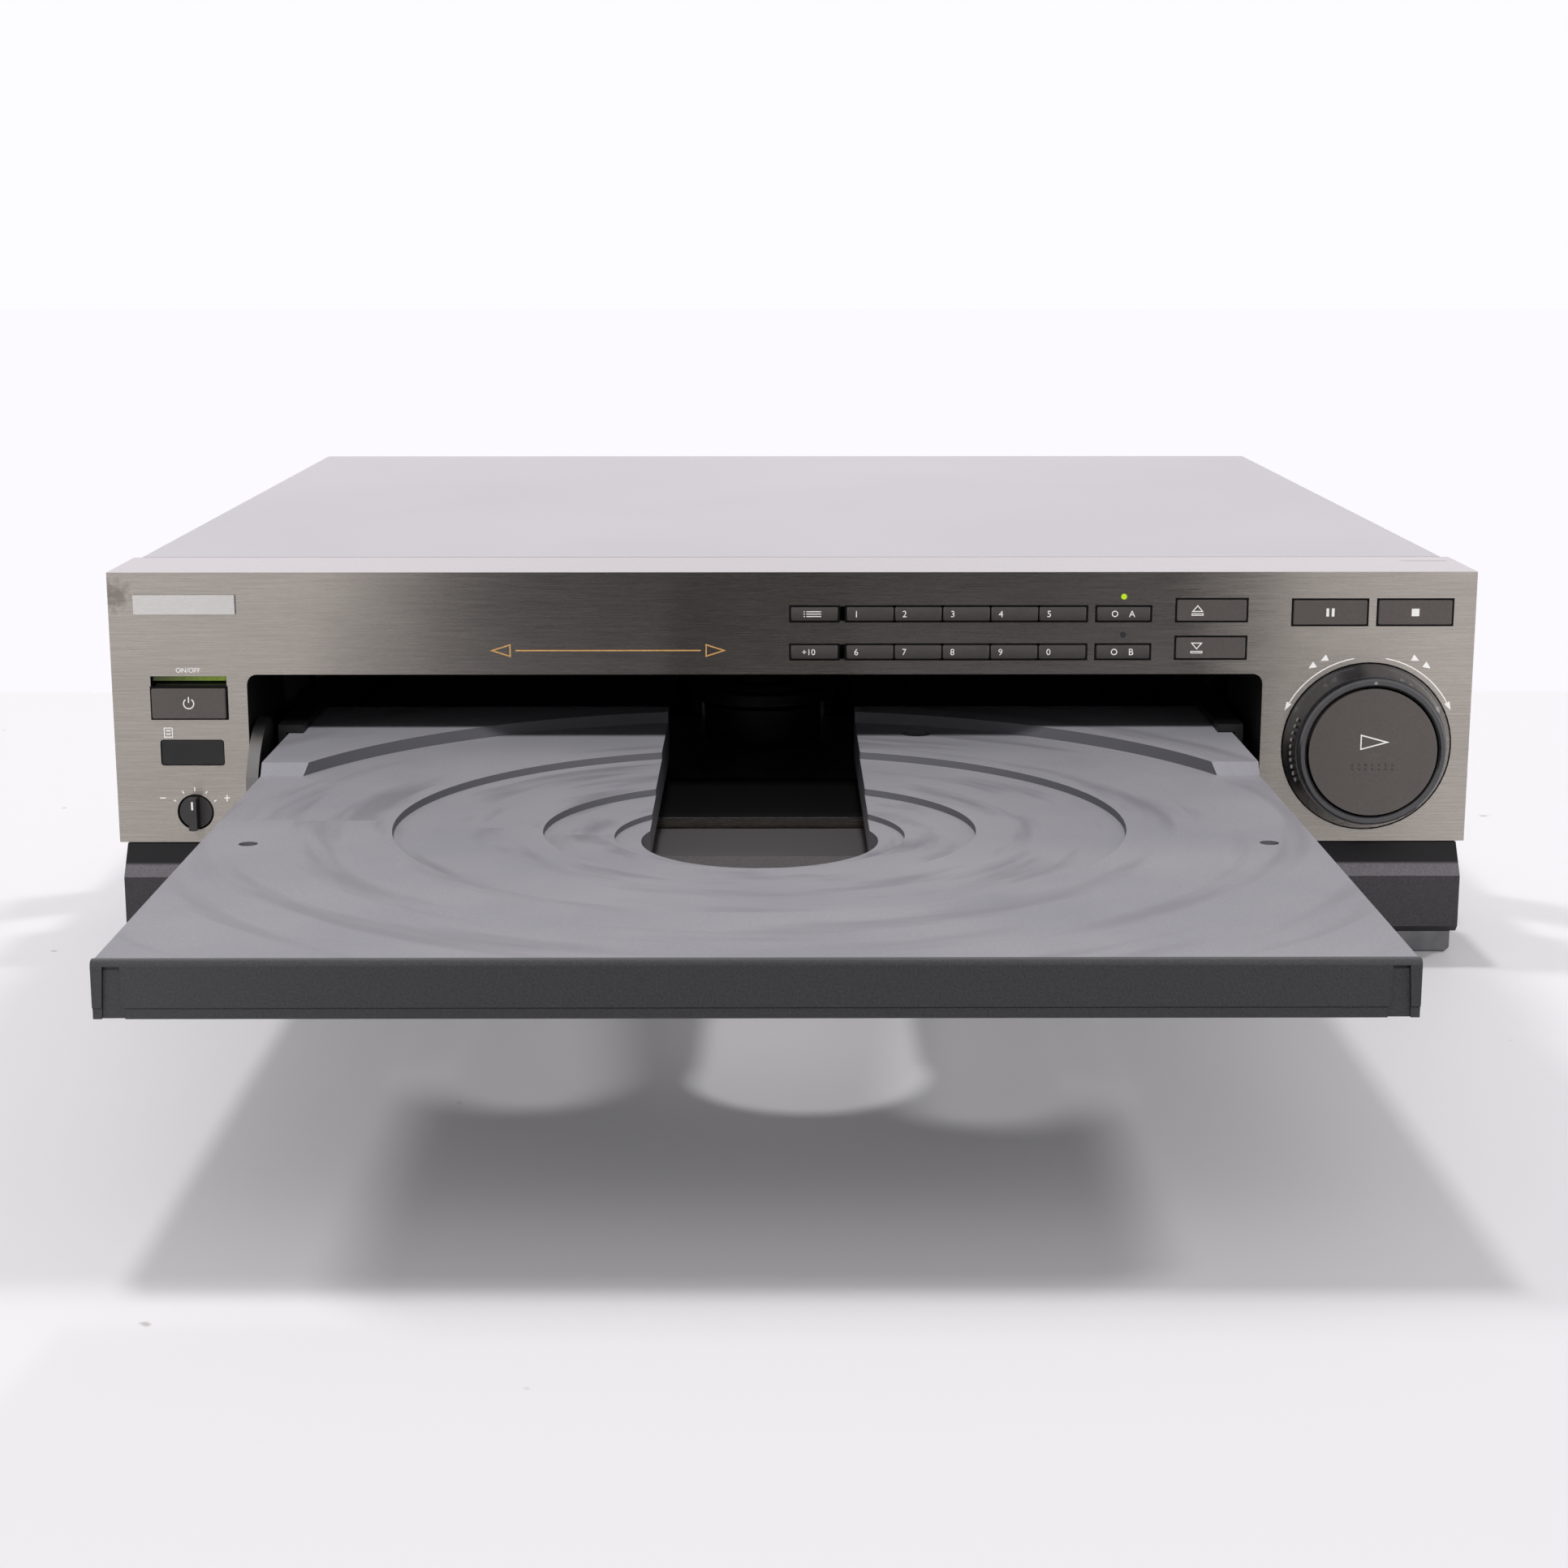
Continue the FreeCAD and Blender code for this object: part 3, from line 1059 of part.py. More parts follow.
def make_rear_sockets():
    """Block of eight phono jacks, a round video socket and the mains inlet with two pins."""
    margin = size.jack_pitch / 2
    parts = [box("jack_block_body", (jack_x[0] - margin, jack_x[-1] + margin),
                 (rear_inner - size.jack_block_depth, rear_inner),
                 (jack_rows[0] - margin, jack_rows[1] + margin))]
    bores = []
    for column, x in enumerate(jack_x):
        for row, z in enumerate(jack_rows):
            end = rear_face + size.jack_length
            parts.append(rod(f"jack_neck_{column}_{row}", "y", (x, z), (rear_inner, rear_face),
                             size.jack_neck_radius))
            parts.append(rod(f"jack_{column}_{row}", "y", (x, z), (rear_face, end), size.jack_radius))
            bores.append(rod(f"jack_bore_{column}_{row}", "y", (x, z), (rear_inner, end), size.jack_bore))
    keep(cut("jack_block_bored", fuse("jack_block_parts", parts), bores), "phono_jacks")

    can = box("socket_can", about(size.socket_x, 2 * size.socket_radius + size.base_wall),
              (rear_inner - size.jack_block_depth, rear_inner),
              about(size.jack_rise, 2 * size.socket_radius + size.base_wall))
    shell = rod("socket_shell", "y", (size.socket_x, size.jack_rise),
                (rear_inner, rear_face + size.rear_sheet), size.socket_radius)
    well = rod("socket_well", "y", (size.socket_x, size.jack_rise),
               (rear_inner, rear_face + size.rear_sheet), size.socket_radius - size.rear_sheet)
    core = rod("socket_core", "y", (size.socket_x, size.jack_rise),
               (rear_inner, rear_face), size.socket_radius - 2 * size.rear_sheet)
    hollow = cut("socket_hollow", fuse("socket_parts", [can, shell]), [well])
    keep(fuse("socket_whole", [hollow, core]), "video_socket")

    end = rear_face + size.rear_sheet
    housing = box("inlet_housing", inlet_x, (rear_inner - size.inlet_depth, end), inlet_z)
    recess = box("inlet_recess", (inlet_x[0] + size.inlet_wall, inlet_x[1] - size.inlet_wall),
                 (rear_inner - size.inlet_depth + size.inlet_wall, end),
                 (inlet_z[0] + size.inlet_wall, inlet_z[1] - size.inlet_wall))
    pins = [rod(f"inlet_pin_{index}", "y", (x, size.jack_rise),
                (rear_inner - size.inlet_depth + size.inlet_wall, rear_inner), size.inlet_pin_radius)
            for index, x in enumerate(about(size.inlet_x, size.inlet_width / 2))]
    shell = cut("inlet_shell", housing, [recess])
    keep(fuse("inlet_whole", [shell, *pins]), "mains_inlet")


# tray
tray_x = about(size.tray_centre, size.tray_width)
tray_front = front - size.tray_front_reach
tray_plate_front = tray_front + size.trim_thick
tray_rear = front + size.tray_rear_reach
tray_floor = panel_top - size.tray_floor_drop
tray_bottom = tray_floor - size.tray_thick
ear_top = tray_floor + size.ear_height
ear_foot_y = front - size.ear_ramp_start
disc_y = front - size.disc_centre_reach
recess_levels = (
    ("middle", size.middle_disc_radius, tray_floor - size.middle_disc_depth),
    ("compact", size.compact_disc_radius, tray_floor - size.middle_disc_depth - size.compact_disc_depth),
    ("small", size.small_disc_radius,
     tray_floor - size.middle_disc_depth - size.compact_disc_depth - size.small_disc_depth),
)
cavity_top = recess_levels[-1][2] - size.tray_wall
left_cavity_x = (tray_x[0] + size.tray_wall, size.tray_centre - size.notch_radius - size.tray_wall)
right_cavity_x = (size.tray_centre + size.notch_radius + size.tray_wall, tray_x[1] - size.tray_wall)
middle_cavity_x = (left_cavity_x[1] + size.tray_wall, right_cavity_x[0] - size.tray_wall)
cavity_y = (tray_plate_front + size.tray_wall, tray_rear - size.tray_wall)


def make_tray():
    """Disc tray: stepped recesses about one centre, raised rear corners, a notch open to the rear."""
    body = new_body("tray")
    plate = sketch_on(body, "XY", tray_bottom, "tray_plate")
    rectangle(plate, tray_x, (tray_plate_front, tray_rear))
    pad(body, plate, size.tray_thick)
    ears = sketch_on(body, "YZ", tray_x[0], "tray_ears")
    outline(ears, ((ear_foot_y, tray_floor), (tray_rear, tray_floor), (tray_rear, ear_top),
                   (ear_foot_y + size.ear_ramp, ear_top)))
    pad(body, ears, size.tray_width)
    large = sketch_on(body, "XY", ear_top, "tray_large_disc")
    circle(large, size.tray_centre, disc_y, size.large_disc_radius)
    pocket(body, large, size.ear_height)
    for name, radius, level in recess_levels:
        recess = sketch_on(body, "XY", tray_floor, f"tray_{name}_disc")
        circle(recess, size.tray_centre, disc_y, radius)
        pocket(body, recess, tray_floor - level)
    through = ear_top - tray_bottom + size.hole_margin
    notch_end = sketch_on(body, "XY", ear_top, "tray_notch_end")
    circle(notch_end, size.tray_centre, disc_y, size.notch_radius)
    pocket(body, notch_end, through)
    notch = sketch_on(body, "XY", ear_top, "tray_notch")
    rectangle(notch, about(size.tray_centre, 2 * size.notch_half_width),
              (disc_y, tray_rear + size.hole_margin))
    pocket(body, notch, through)
    holes = sketch_on(body, "XY", ear_top, "tray_holes")
    for x in about(size.tray_centre, 2 * size.pin_hole_offset):
        circle(holes, x, disc_y - size.pin_hole_ahead, size.pin_hole_radius)
    circle(holes, size.stud_hole_x, tray_rear - size.stud_hole_back, size.stud_hole_radius)
    pocket(body, holes, through)
    for name, cavity_x, cavity_end in (
            ("left", left_cavity_x, cavity_y[1]),
            ("right", right_cavity_x, cavity_y[1]),
            ("middle", middle_cavity_x, disc_y - size.notch_radius - size.tray_wall)):
        cavity = sketch_on(body, "XY", tray_bottom, f"tray_{name}_cavity")
        rectangle(cavity, cavity_x, (cavity_y[0], cavity_end))
        pocket(body, cavity, cavity_top - tray_bottom, forward=True)
    return keep(body, "tray")


def make_tray_front():
    """Front trim of the tray: a rounded upper edge, a lip set back below and a notch at each end."""
    body = new_body("tray_front")
    trim_x = (tray_x[0] - size.trim_overhang, tray_x[1] + size.trim_overhang)
    step_z = tray_bottom + size.trim_lip
    section = sketch_on(body, "YZ", trim_x[0], "trim_section")
    outline(section, (
        (tray_front + size.trim_step, tray_bottom), (tray_plate_front, tray_bottom),
        (tray_plate_front, tray_floor), (tray_front + size.trim_round, tray_floor, size.trim_round),
        (tray_front, tray_floor - size.trim_round), (tray_front, step_z),
        (tray_front + size.trim_step, step_z),
    ))
    pad(body, section, trim_x[1] - trim_x[0])
    notches = sketch_on(body, "XZ", tray_front, "trim_notches")
    for end, inward in ((trim_x[0], 1), (trim_x[1], -1)):
        start = end + inward * size.trim_notch_inset
        slant = (size.trim_notch_bottom - size.trim_notch_top) / 2
        top_z = tray_floor - size.trim_round
        outline(notches, (
            (start, tray_bottom - size.hole_margin),
            (start + inward * size.trim_notch_bottom, tray_bottom - size.hole_margin),
            (start + inward * (slant + size.trim_notch_top), top_z), (start + inward * slant, top_z),
        ))
    pocket(body, notches, size.trim_thick / 2)
    return keep(body, "tray_front")


# rack and pinion: twenty-degree teeth, thinned for backlash
PRESSURE_ANGLE = math.radians(20)
TOOTH_THINNING = 0.08
TOOTH_TIP = 0.9
TOOTH_ROOT = 1.25
FLANK_STEPS = 4
tooth_pitch = size.tooth_module * math.pi
pinion_radius = size.tooth_module * size.pinion_teeth / 2
rack_x0 = left_cavity_x[0] + size.rest_gap
rack_pitch_x = rack_x0 + size.rack_back + TOOTH_ROOT * size.tooth_module
pinion_x = rack_pitch_x + pinion_radius
pinion_y = front + size.pinion_reach
motor_x = pinion_x + size.motor_offset
rack_z = (tray_bottom + size.running_gap, tray_bottom + size.running_gap + size.rack_height)
pulley_bottom = mouth_z[0] + size.rest_gap
belt_seat_z = pulley_bottom + size.pulley_height / 2


def rack_outline():
    """Corners of the rack seen from above: a strip with straight-sided teeth towards +X."""
    module = size.tooth_module.value
    pitch = tooth_pitch.value
    back = rack_x0.value
    line = rack_pitch_x.value
    low = cavity_y[0].value + size.rack_end.value
    high = cavity_y[1].value - size.rack_end.value
    lean = math.tan(PRESSURE_ANGLE)
    tooth_half = pitch / 4 - TOOTH_THINNING * module
    tip = line + TOOTH_TIP * module
    base = line - TOOTH_ROOT * module
    phase = (pinion_y.value - low) % pitch
    count = int((high - low - phase - pitch) // pitch) + 1
    corners = [(back, low), (base, low)]
    for index in range(count):
        middle = low + phase + pitch * index
        base_half = tooth_half + lean * (line - base)
        tip_half = tooth_half - lean * (tip - line)
        corners += [(base, middle - base_half), (tip, middle - tip_half),
                    (tip, middle + tip_half), (base, middle + base_half)]
    corners += [(base, high), (back, high)]
    return corners


def pinion_outline():
    """Corners of the pinion about its own axis, with one tooth space towards the rack at rest."""
    module = size.tooth_module.value
    teeth = round(size.pinion_teeth.value)
    radius = module * teeth / 2
    root_radius = radius - TOOTH_ROOT * module
    tip_radius = radius + TOOTH_TIP * module
    base_radius = radius * math.cos(PRESSURE_ANGLE)
    involute = math.tan(PRESSURE_ANGLE) - PRESSURE_ANGLE
    half_at_pitch = (math.pi / 2 - TOOTH_THINNING) / teeth
    flank = []
    for step in range(FLANK_STEPS + 1):
        reach = base_radius + (tip_radius - base_radius) * step / FLANK_STEPS
        roll = math.acos(base_radius / reach)
        flank.append((reach, half_at_pitch + involute - (math.tan(roll) - roll)))
    corners = []
    for tooth in range(teeth):
        middle = 2 * math.pi * (tooth + 0.5) / teeth + math.pi
        side = [(root_radius, flank[0][1])] + flank
        corners += [(reach, middle - half) for reach, half in side]
        corners += [(reach, middle + half) for reach, half in reversed(side)]
    return [(reach * math.cos(angle), reach * math.sin(angle)) for reach, angle in corners]


def prism(corners, low, high):
    """A solid of constant outline between two heights."""
    points = [Vector(x, y, low) for x, y in corners]
    return Part.Face(Part.makePolygon(points + points[:1])).extrude(Vector(0, 0, high - low))


def make_tray_drive():
    """Rack under the tray, the pinion with its pulley, the motor with its own, and the belt."""
    rack = doc.addObject("Part::Feature", "tray_rack")
    rack.Shape = prism(rack_outline(), rack_z[0].value, cavity_top.value)
    keep(rack, "tray_rack")

    gear = doc.addObject("Part::Feature", "pinion_teeth_ring")
    gear.Shape = prism(pinion_outline(), rack_z[0].value, rack_z[1].value)
    bind(gear, "Placement.Base.x", pinion_x)
    bind(gear, "Placement.Base.y", pinion_y)
    pinion_axis = (pinion_x, pinion_y)
    flange = size.pulley_radius + size.pulley_flange
    pulley_top = pulley_bottom + size.pulley_height
    wheel = rod("pinion_pulley", "z", pinion_axis, (pulley_bottom, pulley_top), flange)
    hub = rod("pinion_hub", "z", pinion_axis, (pulley_bottom, rack_z[1]), size.hub_radius)
    groove_z = about(belt_seat_z, size.belt_width + 2 * size.belt_gap)
    groove_ring = rod("pinion_groove_ring", "z", pinion_axis, groove_z, flange + size.hole_margin)
    groove_core = rod("pinion_groove_core", "z", pinion_axis, groove_z, size.pulley_radius)
    groove = cut("pinion_groove", groove_ring, [groove_core])
    bore = rod("pinion_bore", "z", pinion_axis, (pulley_bottom, rack_z[1]),
               size.axle_radius + size.running_gap)
    wheel_whole = fuse("pinion_whole", [gear, wheel, hub])
    keep(cut("pinion_bored", wheel_whole, [groove, bore]), "tray_pinion")

    motor_axis = (motor_x, pinion_y)
    motor_top = mouth_z[0] - size.tunnel_wall
    can = rod("loading_motor_can", "z", motor_axis, (motor_top - size.motor_height, motor_top),
              size.motor_radius)
    well = rod("loading_motor_well", "z", motor_axis, (motor_top - size.motor_height / 2, motor_top),
               size.axle_radius + size.running_gap)
    keep(cut("loading_motor_bored", can, [well]), "loading_motor")
    small_flange = size.motor_pulley_radius + size.pulley_flange
    pulley = rod("motor_pulley_wheel", "z", motor_axis, (pulley_bottom, pulley_top), small_flange)
    ring = rod("motor_groove_ring", "z", motor_axis, groove_z, small_flange + size.hole_margin)
    core = rod("motor_groove_core", "z", motor_axis, groove_z, size.motor_pulley_radius)
    wheel = cut("motor_pulley_grooved", pulley, [cut("motor_groove", ring, [core])])
    shaft = rod("motor_shaft", "z", motor_axis, (motor_top - size.motor_height / 2, pulley_top),
                size.axle_radius)
    keep(fuse("motor_pulley_whole", [wheel, shaft]), "motor_pulley")

    body = new_body("drive_belt")
    for name, extra in (("outer", size.belt_gap + size.belt_thick), ("inner", size.belt_gap)):
        large = size.pulley_radius + extra
        small = size.motor_pulley_radius + extra
        slope = (large - small) / size.motor_offset
        rise = root(1 - slope * slope)
        loop = sketch_on(body, "XY", belt_seat_z - size.belt_width / 2, f"belt_{name}")
        outline(loop, (
            (pinion_x - large, pinion_y, large),
            (pinion_x + large * slope, pinion_y - large * rise),
            (motor_x + small * slope, pinion_y - small * rise, small),
            (motor_x + small, pinion_y, small),
            (motor_x + small * slope, pinion_y + small * rise),
            (pinion_x + large * slope, pinion_y + large * rise, large),
        ))
        if name == "outer":
            pad(body, loop, size.belt_width)
        else:
            pocket(body, loop, size.belt_width, forward=True)
    keep(body, "drive_belt")


rail_start_y = front + size.rail_start
rail_top_z = ear_top + size.rest_gap
rail_low_z = tray_bottom - size.rest_gap
rail_wall_reach = size.trim_overhang + size.rail_side_gap
plate_bottom = size.plate_rise
plate_top = plate_bottom + size.plate_sheet


def make_rails():
    """Channel on each side that the tray slides in, on feet that stand on the tunnel and the plate."""
    for label, edge, outward in (("left_guide_rail", tray_x[0], -1), ("right_guide_rail", tray_x[1], 1)):
        body = new_body(label)
        wall = edge + outward * rail_wall_reach
        outer = wall + outward * size.rail_wall
        tip = outer - outward * size.rail_flange
        section = sketch_on(body, "XZ", rail_start_y, f"{label}_section")
        outline(section, (
            (outer, rail_low_z - size.rail_wall), (tip, rail_low_z - size.rail_wall), (tip, rail_low_z),
            (wall, rail_low_z), (wall, rail_top_z), (tip, rail_top_z), (tip, rail_top_z + size.rail_wall),
            (outer, rail_top_z + size.rail_wall),
        ))
        pad(body, section, size.rail_length, backward=True)
        foot_x_limits = sorted((outer, tip), key=lambda limit: limit.value)
        middle_start = front + size.plate_front_reach + size.post_inset
        rear_start = rail_start_y + size.rail_length - size.rail_foot_length
        for name, start, level in (("front", rail_start_y, mouth_z[0]), ("middle", middle_start, plate_top),
                                   ("rear", rear_start, plate_top)):
            foot = sketch_on(body, "XY", level, f"{label}_{name}_foot")
            rectangle(foot, foot_x_limits, (start, start + size.rail_foot_length))
            pad(body, foot, rail_low_z - size.rail_wall - level)
        keep(body, label)


# flap at the mouth, swung down in front of the panel
flap_axis_y = front + size.flap_axis_back
flap_axis_z = panel_top - size.flap_axis_drop
flap_x = (mouth_x[0] + size.flap_gap, mouth_x[1] - size.flap_gap)
flap_lower = flap_axis_z - size.flap_axis_back + size.flap_set_back
flap_upper = flap_lower + size.flap_thick
flap_inner_y = flap_axis_y + flap_axis_z - mouth_z[0] - size.flap_gap / 2
flap_outer_y = flap_inner_y - size.mouth_height + size.flap_gap
flap_thin = flap_upper - size.flap_step
flap_step_y = front - size.flap_step_reach
left_ear_x = (mouth_x[0] + size.flap_ear_inset, mouth_x[0] + size.flap_ear_inset + size.flap_ear_width)
right_ear_x = (mouth_x[1] - size.flap_ear_inset - size.flap_ear_width, mouth_x[1] - size.flap_ear_inset)
lug_rear_y = front + size.tunnel_floor_start + size.tunnel_wall
flap_lug_x = ((left_ear_x[1] + size.rest_gap, left_ear_x[1] + size.rest_gap + size.flap_ear_width),
              (right_ear_x[0] - size.rest_gap - size.flap_ear_width, right_ear_x[0] - size.rest_gap))


def make_flap():
    """Flap that closes the mouth, hinged behind the panel's lower strip by two hooked ears."""
    body = new_body("flap")
    section = sketch_on(body, "YZ", flap_x[0], "flap_section")
    outline(section, (
        (flap_outer_y, flap_lower), (flap_inner_y, flap_lower), (flap_inner_y, flap_thin),
        (flap_step_y, flap_thin), (flap_step_y, flap_upper), (flap_outer_y, flap_upper),
    ))
    pad(body, section, flap_x[1] - flap_x[0])
    eye = size.flap_eye_radius
    clear = size.frame_gap
    sill = mouth_z[0] + clear
    roof = sill + 2 * size.flap_pin_radius
    ear_face = front - size.flap_ear_gap
    for name, ear_x in (("left", left_ear_x), ("right", right_ear_x)):
        ear = sketch_on(body, "YZ", ear_x[0], f"flap_{name}_ear")
        outline(ear, (
            (flap_inner_y - 2 * eye, flap_lower), (flap_inner_y, flap_lower), (flap_inner_y, flap_thin),
            (ear_face, flap_thin), (ear_face, sill), (flap_axis_y - eye, sill),
            (flap_axis_y - eye, flap_axis_z, eye), (flap_axis_y, flap_axis_z - eye, eye),
            (flap_axis_y + eye, flap_axis_z), (flap_axis_y + eye, roof), (flap_inner_y - eye, roof),
            (flap_inner_y - 2 * eye, sill),
        ))
        pad(body, ear, size.flap_ear_width)
        bore = sketch_on(body, "YZ", ear_x[1], f"flap_{name}_bore")
        circle(bore, flap_axis_y, flap_axis_z, size.flap_pin_radius + size.running_gap)
        pocket(body, bore, size.flap_ear_width)
    return keep(body, "flap")


def make_flap_arm():
    """Curved arm that stands on the flap's left end and guides it into the body."""
    body = new_body("flap_arm")
    arm_x = mouth_x[0] + size.arm_side_gap
    foot_y = front - size.arm_foot_setback
    sill = mouth_z[0]
    plate = sketch_on(body, "YZ", arm_x, "flap_arm_plate")
    outline(plate, (
        (front - size.arm_foot_reach, flap_thin), (foot_y, flap_thin),
        (foot_y, flap_thin + size.arm_foot_rise),
        (front + size.arm_sill_reach, sill + size.arm_sill_rise),
        (front + size.arm_rear_reach, sill + size.arm_rear_rise),
        (front + size.arm_tip_reach, sill + size.arm_tip_rise),
        (front + size.arm_crest_reach, sill + size.arm_crest_rise, size.arm_radius),
        (front - size.arm_brow_reach, sill + size.arm_brow_rise),
    ))
    pad(body, plate, size.arm_width)
    return keep(body, "flap_arm")


def make_flap_pins():
    """Short steel pins through the flap's ears into the tunnel's lugs."""
    pins = []
    for name, ear_x, lug_x in (("left", left_ear_x, flap_lug_x[0]), ("right", right_ear_x, flap_lug_x[1])):
        limits = sorted((*ear_x, *lug_x), key=lambda limit: limit.value)
        pins.append(rod(f"{name}_flap_pin", "x", (flap_axis_y, flap_axis_z), (limits[0], limits[-1]),
                        size.flap_pin_radius))
    keep(fuse("flap_pin_pair", pins), "flap_hinge_pins")


# mechanism behind the tunnel
plate_x = (tray_x[0] - rail_wall_reach - size.rail_wall, tray_x[1] + rail_wall_reach + size.rail_wall)
pivot_y = front + size.arm_pivot_reach
plate_y = (front + size.plate_front_reach, pivot_y + size.plate_rear_margin)
plate_post_x = (plate_x[0] + size.post_inset, plate_x[1] - size.post_inset)
plate_post_y = (plate_y[0] + size.post_inset, plate_y[1] - size.post_inset)
loaded_disc_y = disc_y + size.tray_travel
rod_y = (front + size.rod_start, pivot_y - size.rod_end_gap)
sled_y = (front + size.sled_start, front + size.sled_start + size.sled_length)
pivot_z = size.arm_rise - size.pivot_eye_radius
bracket_x = (size.clamp_arm_half + size.rest_gap, size.clamp_arm_half + size.rest_gap + size.bracket_sheet)


def make_mechanism_plate():
    """Steel plate under the disc drive: an opening for the pickup, and two brackets with a riveted pivot."""
    plate = box("plate_sheet", plate_x, plate_y, (plate_bottom, plate_top))
    opening = box("plate_opening", about(size.tray_centre, 2 * size.sled_half + size.rod_offset),
                  (rod_y[0] + size.base_wall, rod_y[1] - size.base_wall),
                  (plate_bottom - size.hole_margin, plate_top + size.hole_margin))
    spindle_hole = rod("plate_spindle_hole", "z", (size.tray_centre, loaded_disc_y),
                       (plate_bottom - size.hole_margin, plate_top + size.hole_margin),
                       2 * size.spindle_radius)
    brackets = []
    for name, side in (("left", -1), ("right", 1)):
        limits = sorted((size.tray_centre + side * bracket_x[0], size.tray_centre + side * bracket_x[1]),
                        key=lambda limit: limit.value)
        brackets.append(box(f"{name}_clamp_bracket", limits,
                            about(pivot_y, 2 * size.pivot_eye_radius), (plate_bottom, size.arm_rise)))
    pivot = rod("clamp_pivot", "x", (pivot_y, pivot_z), about(size.tray_centre, 2 * bracket_x[1]),
                size.pivot_radius)
    bearer_half = size.rod_offset + size.rod_radius + size.bearer_margin
    bearer_z = (plate_bottom, size.rod_rise + size.rod_radius + size.bearer_cap)
    ends = [box(f"{name}_rod_bearer", about(size.tray_centre, 2 * bearer_half), y, bearer_z)
            for name, y in (("front", (rod_y[0], rod_y[0] + size.base_wall)),
                            ("rear", (rod_y[1] - size.base_wall, rod_y[1])))]
    rod_bores = [rod(f"{name}_rod_bore", "y", (size.tray_centre + side * size.rod_offset, size.rod_rise),
                     rod_y, size.rod_radius) for name, side in (("left", -1), ("right", 1))]
    holed = cut("plate_holed", plate, [opening, spindle_hole])
    whole = fuse("plate_whole", [holed, pivot, *brackets, *ends])
    keep(cut("plate_bored", whole, rod_bores), "mechanism_plate")


def make_dampers():
    """Four rubber dampers between the base's posts and the plate."""
    dampers = [rod(f"damper_{column}_{row}", "z", (x, y), (plate_bottom - size.damper_height, plate_bottom),
                   size.damper_radius)
               for column, x in enumerate(plate_post_x) for row, y in enumerate(plate_post_y)]
    keep(fuse("damper_set", dampers), "rubber_dampers")


def make_disc_drive():
    """Spindle motor and the turntable with a hub step for each size of centre hole."""
    axis = (size.tray_centre, loaded_disc_y)
    motor_top = plate_top + size.spindle_motor_height
    can = rod("spindle_motor_can", "z", axis, (plate_top, motor_top), size.spindle_motor_radius)
    bore = rod("spindle_motor_bore", "z", axis, (plate_top, motor_top),
               size.spindle_radius + size.running_gap)
    keep(cut("spindle_motor_bored", can, [bore]), "spindle_motor")

    body = new_body("turntable")
    rim = size.turntable_rise
    step = size.hub_step
    peak = rim + 3 * step
    profile = sketch_on(body, "XZ", 0, "turntable_profile")
    outline(profile, (
        (0, plate_top), (size.spindle_radius, plate_top), (size.spindle_radius, rim - size.turntable_thick),
        (size.turntable_radius, rim - size.turntable_thick), (size.turntable_radius, rim),
        (size.large_hub_radius + step / 2, rim), (size.large_hub_radius, rim + step),
        (size.small_hub_radius + step / 2, rim + step), (size.small_hub_radius, rim + 2 * step),
        (size.spindle_radius, peak), (0, peak),
    ))
    revolve(body, profile)
    bind(body, "Placement.Base.x", size.tray_centre)
    bind(body, "Placement.Base.y", loaded_disc_y)
    keep(body, "turntable")


def make_clamp():
    """Arm that pivots at the rear and the clamp that hangs in its front end."""
    arm_top = size.arm_rise + size.plate_sheet
    arm_x = about(size.tray_centre, 2 * size.clamp_arm_half)
    nose_y = loaded_disc_y - size.clamp_arm_half
    strip = box("clamp_arm_strip", arm_x, (nose_y, pivot_y), (size.arm_rise, arm_top))
    eyes = []
    for name, x in (("left", (arm_x[0], arm_x[0] + size.bracket_sheet)),
                    ("right", (arm_x[1] - size.bracket_sheet, arm_x[1]))):
        eyes.append(rod(f"{name}_clamp_eye", "x", (pivot_y, pivot_z), x, size.pivot_eye_radius))
        eyes.append(box(f"{name}_clamp_cheek", x, (pivot_y - size.clamp_cheek_length, pivot_y),
                        (pivot_z, arm_top)))
    stem_hole = rod("clamp_stem_hole", "z", (size.tray_centre, loaded_disc_y), (size.arm_rise, arm_top),
                    size.clamp_stem_radius + size.rest_gap)
    pivot_hole = rod("clamp_pivot_hole", "x", (pivot_y, pivot_z), arm_x,
                     size.pivot_radius + size.running_gap)
    whole = fuse("clamp_arm_whole", [strip, *eyes])
    keep(cut("clamp_arm_bored", whole, [stem_hole, pivot_hole]), "clamp_arm")

    body = new_body("disc_clamp")
    low = size.clamp_rise
    cap_low = arm_top + size.clamp_cap_gap
    profile = sketch_on(body, "XZ", 0, "disc_clamp_profile")
    outline(profile, (
        (0, low + size.hub_step), (size.small_hub_radius + size.hub_step, low + size.hub_step),
        (size.small_hub_radius + size.hub_step, low), (size.clamp_radius, low),
        (size.clamp_radius, low + size.clamp_thick), (size.clamp_stem_radius, low + size.clamp_thick),
        (size.clamp_stem_radius, cap_low), (size.clamp_cap_radius, cap_low),
        (size.clamp_cap_radius, cap_low + size.hub_step), (0, cap_low + size.hub_step),
    ))
    revolve(body, profile)
    bind(body, "Placement.Base.x", size.tray_centre)
    bind(body, "Placement.Base.y", loaded_disc_y)
    keep(body, "disc_clamp")


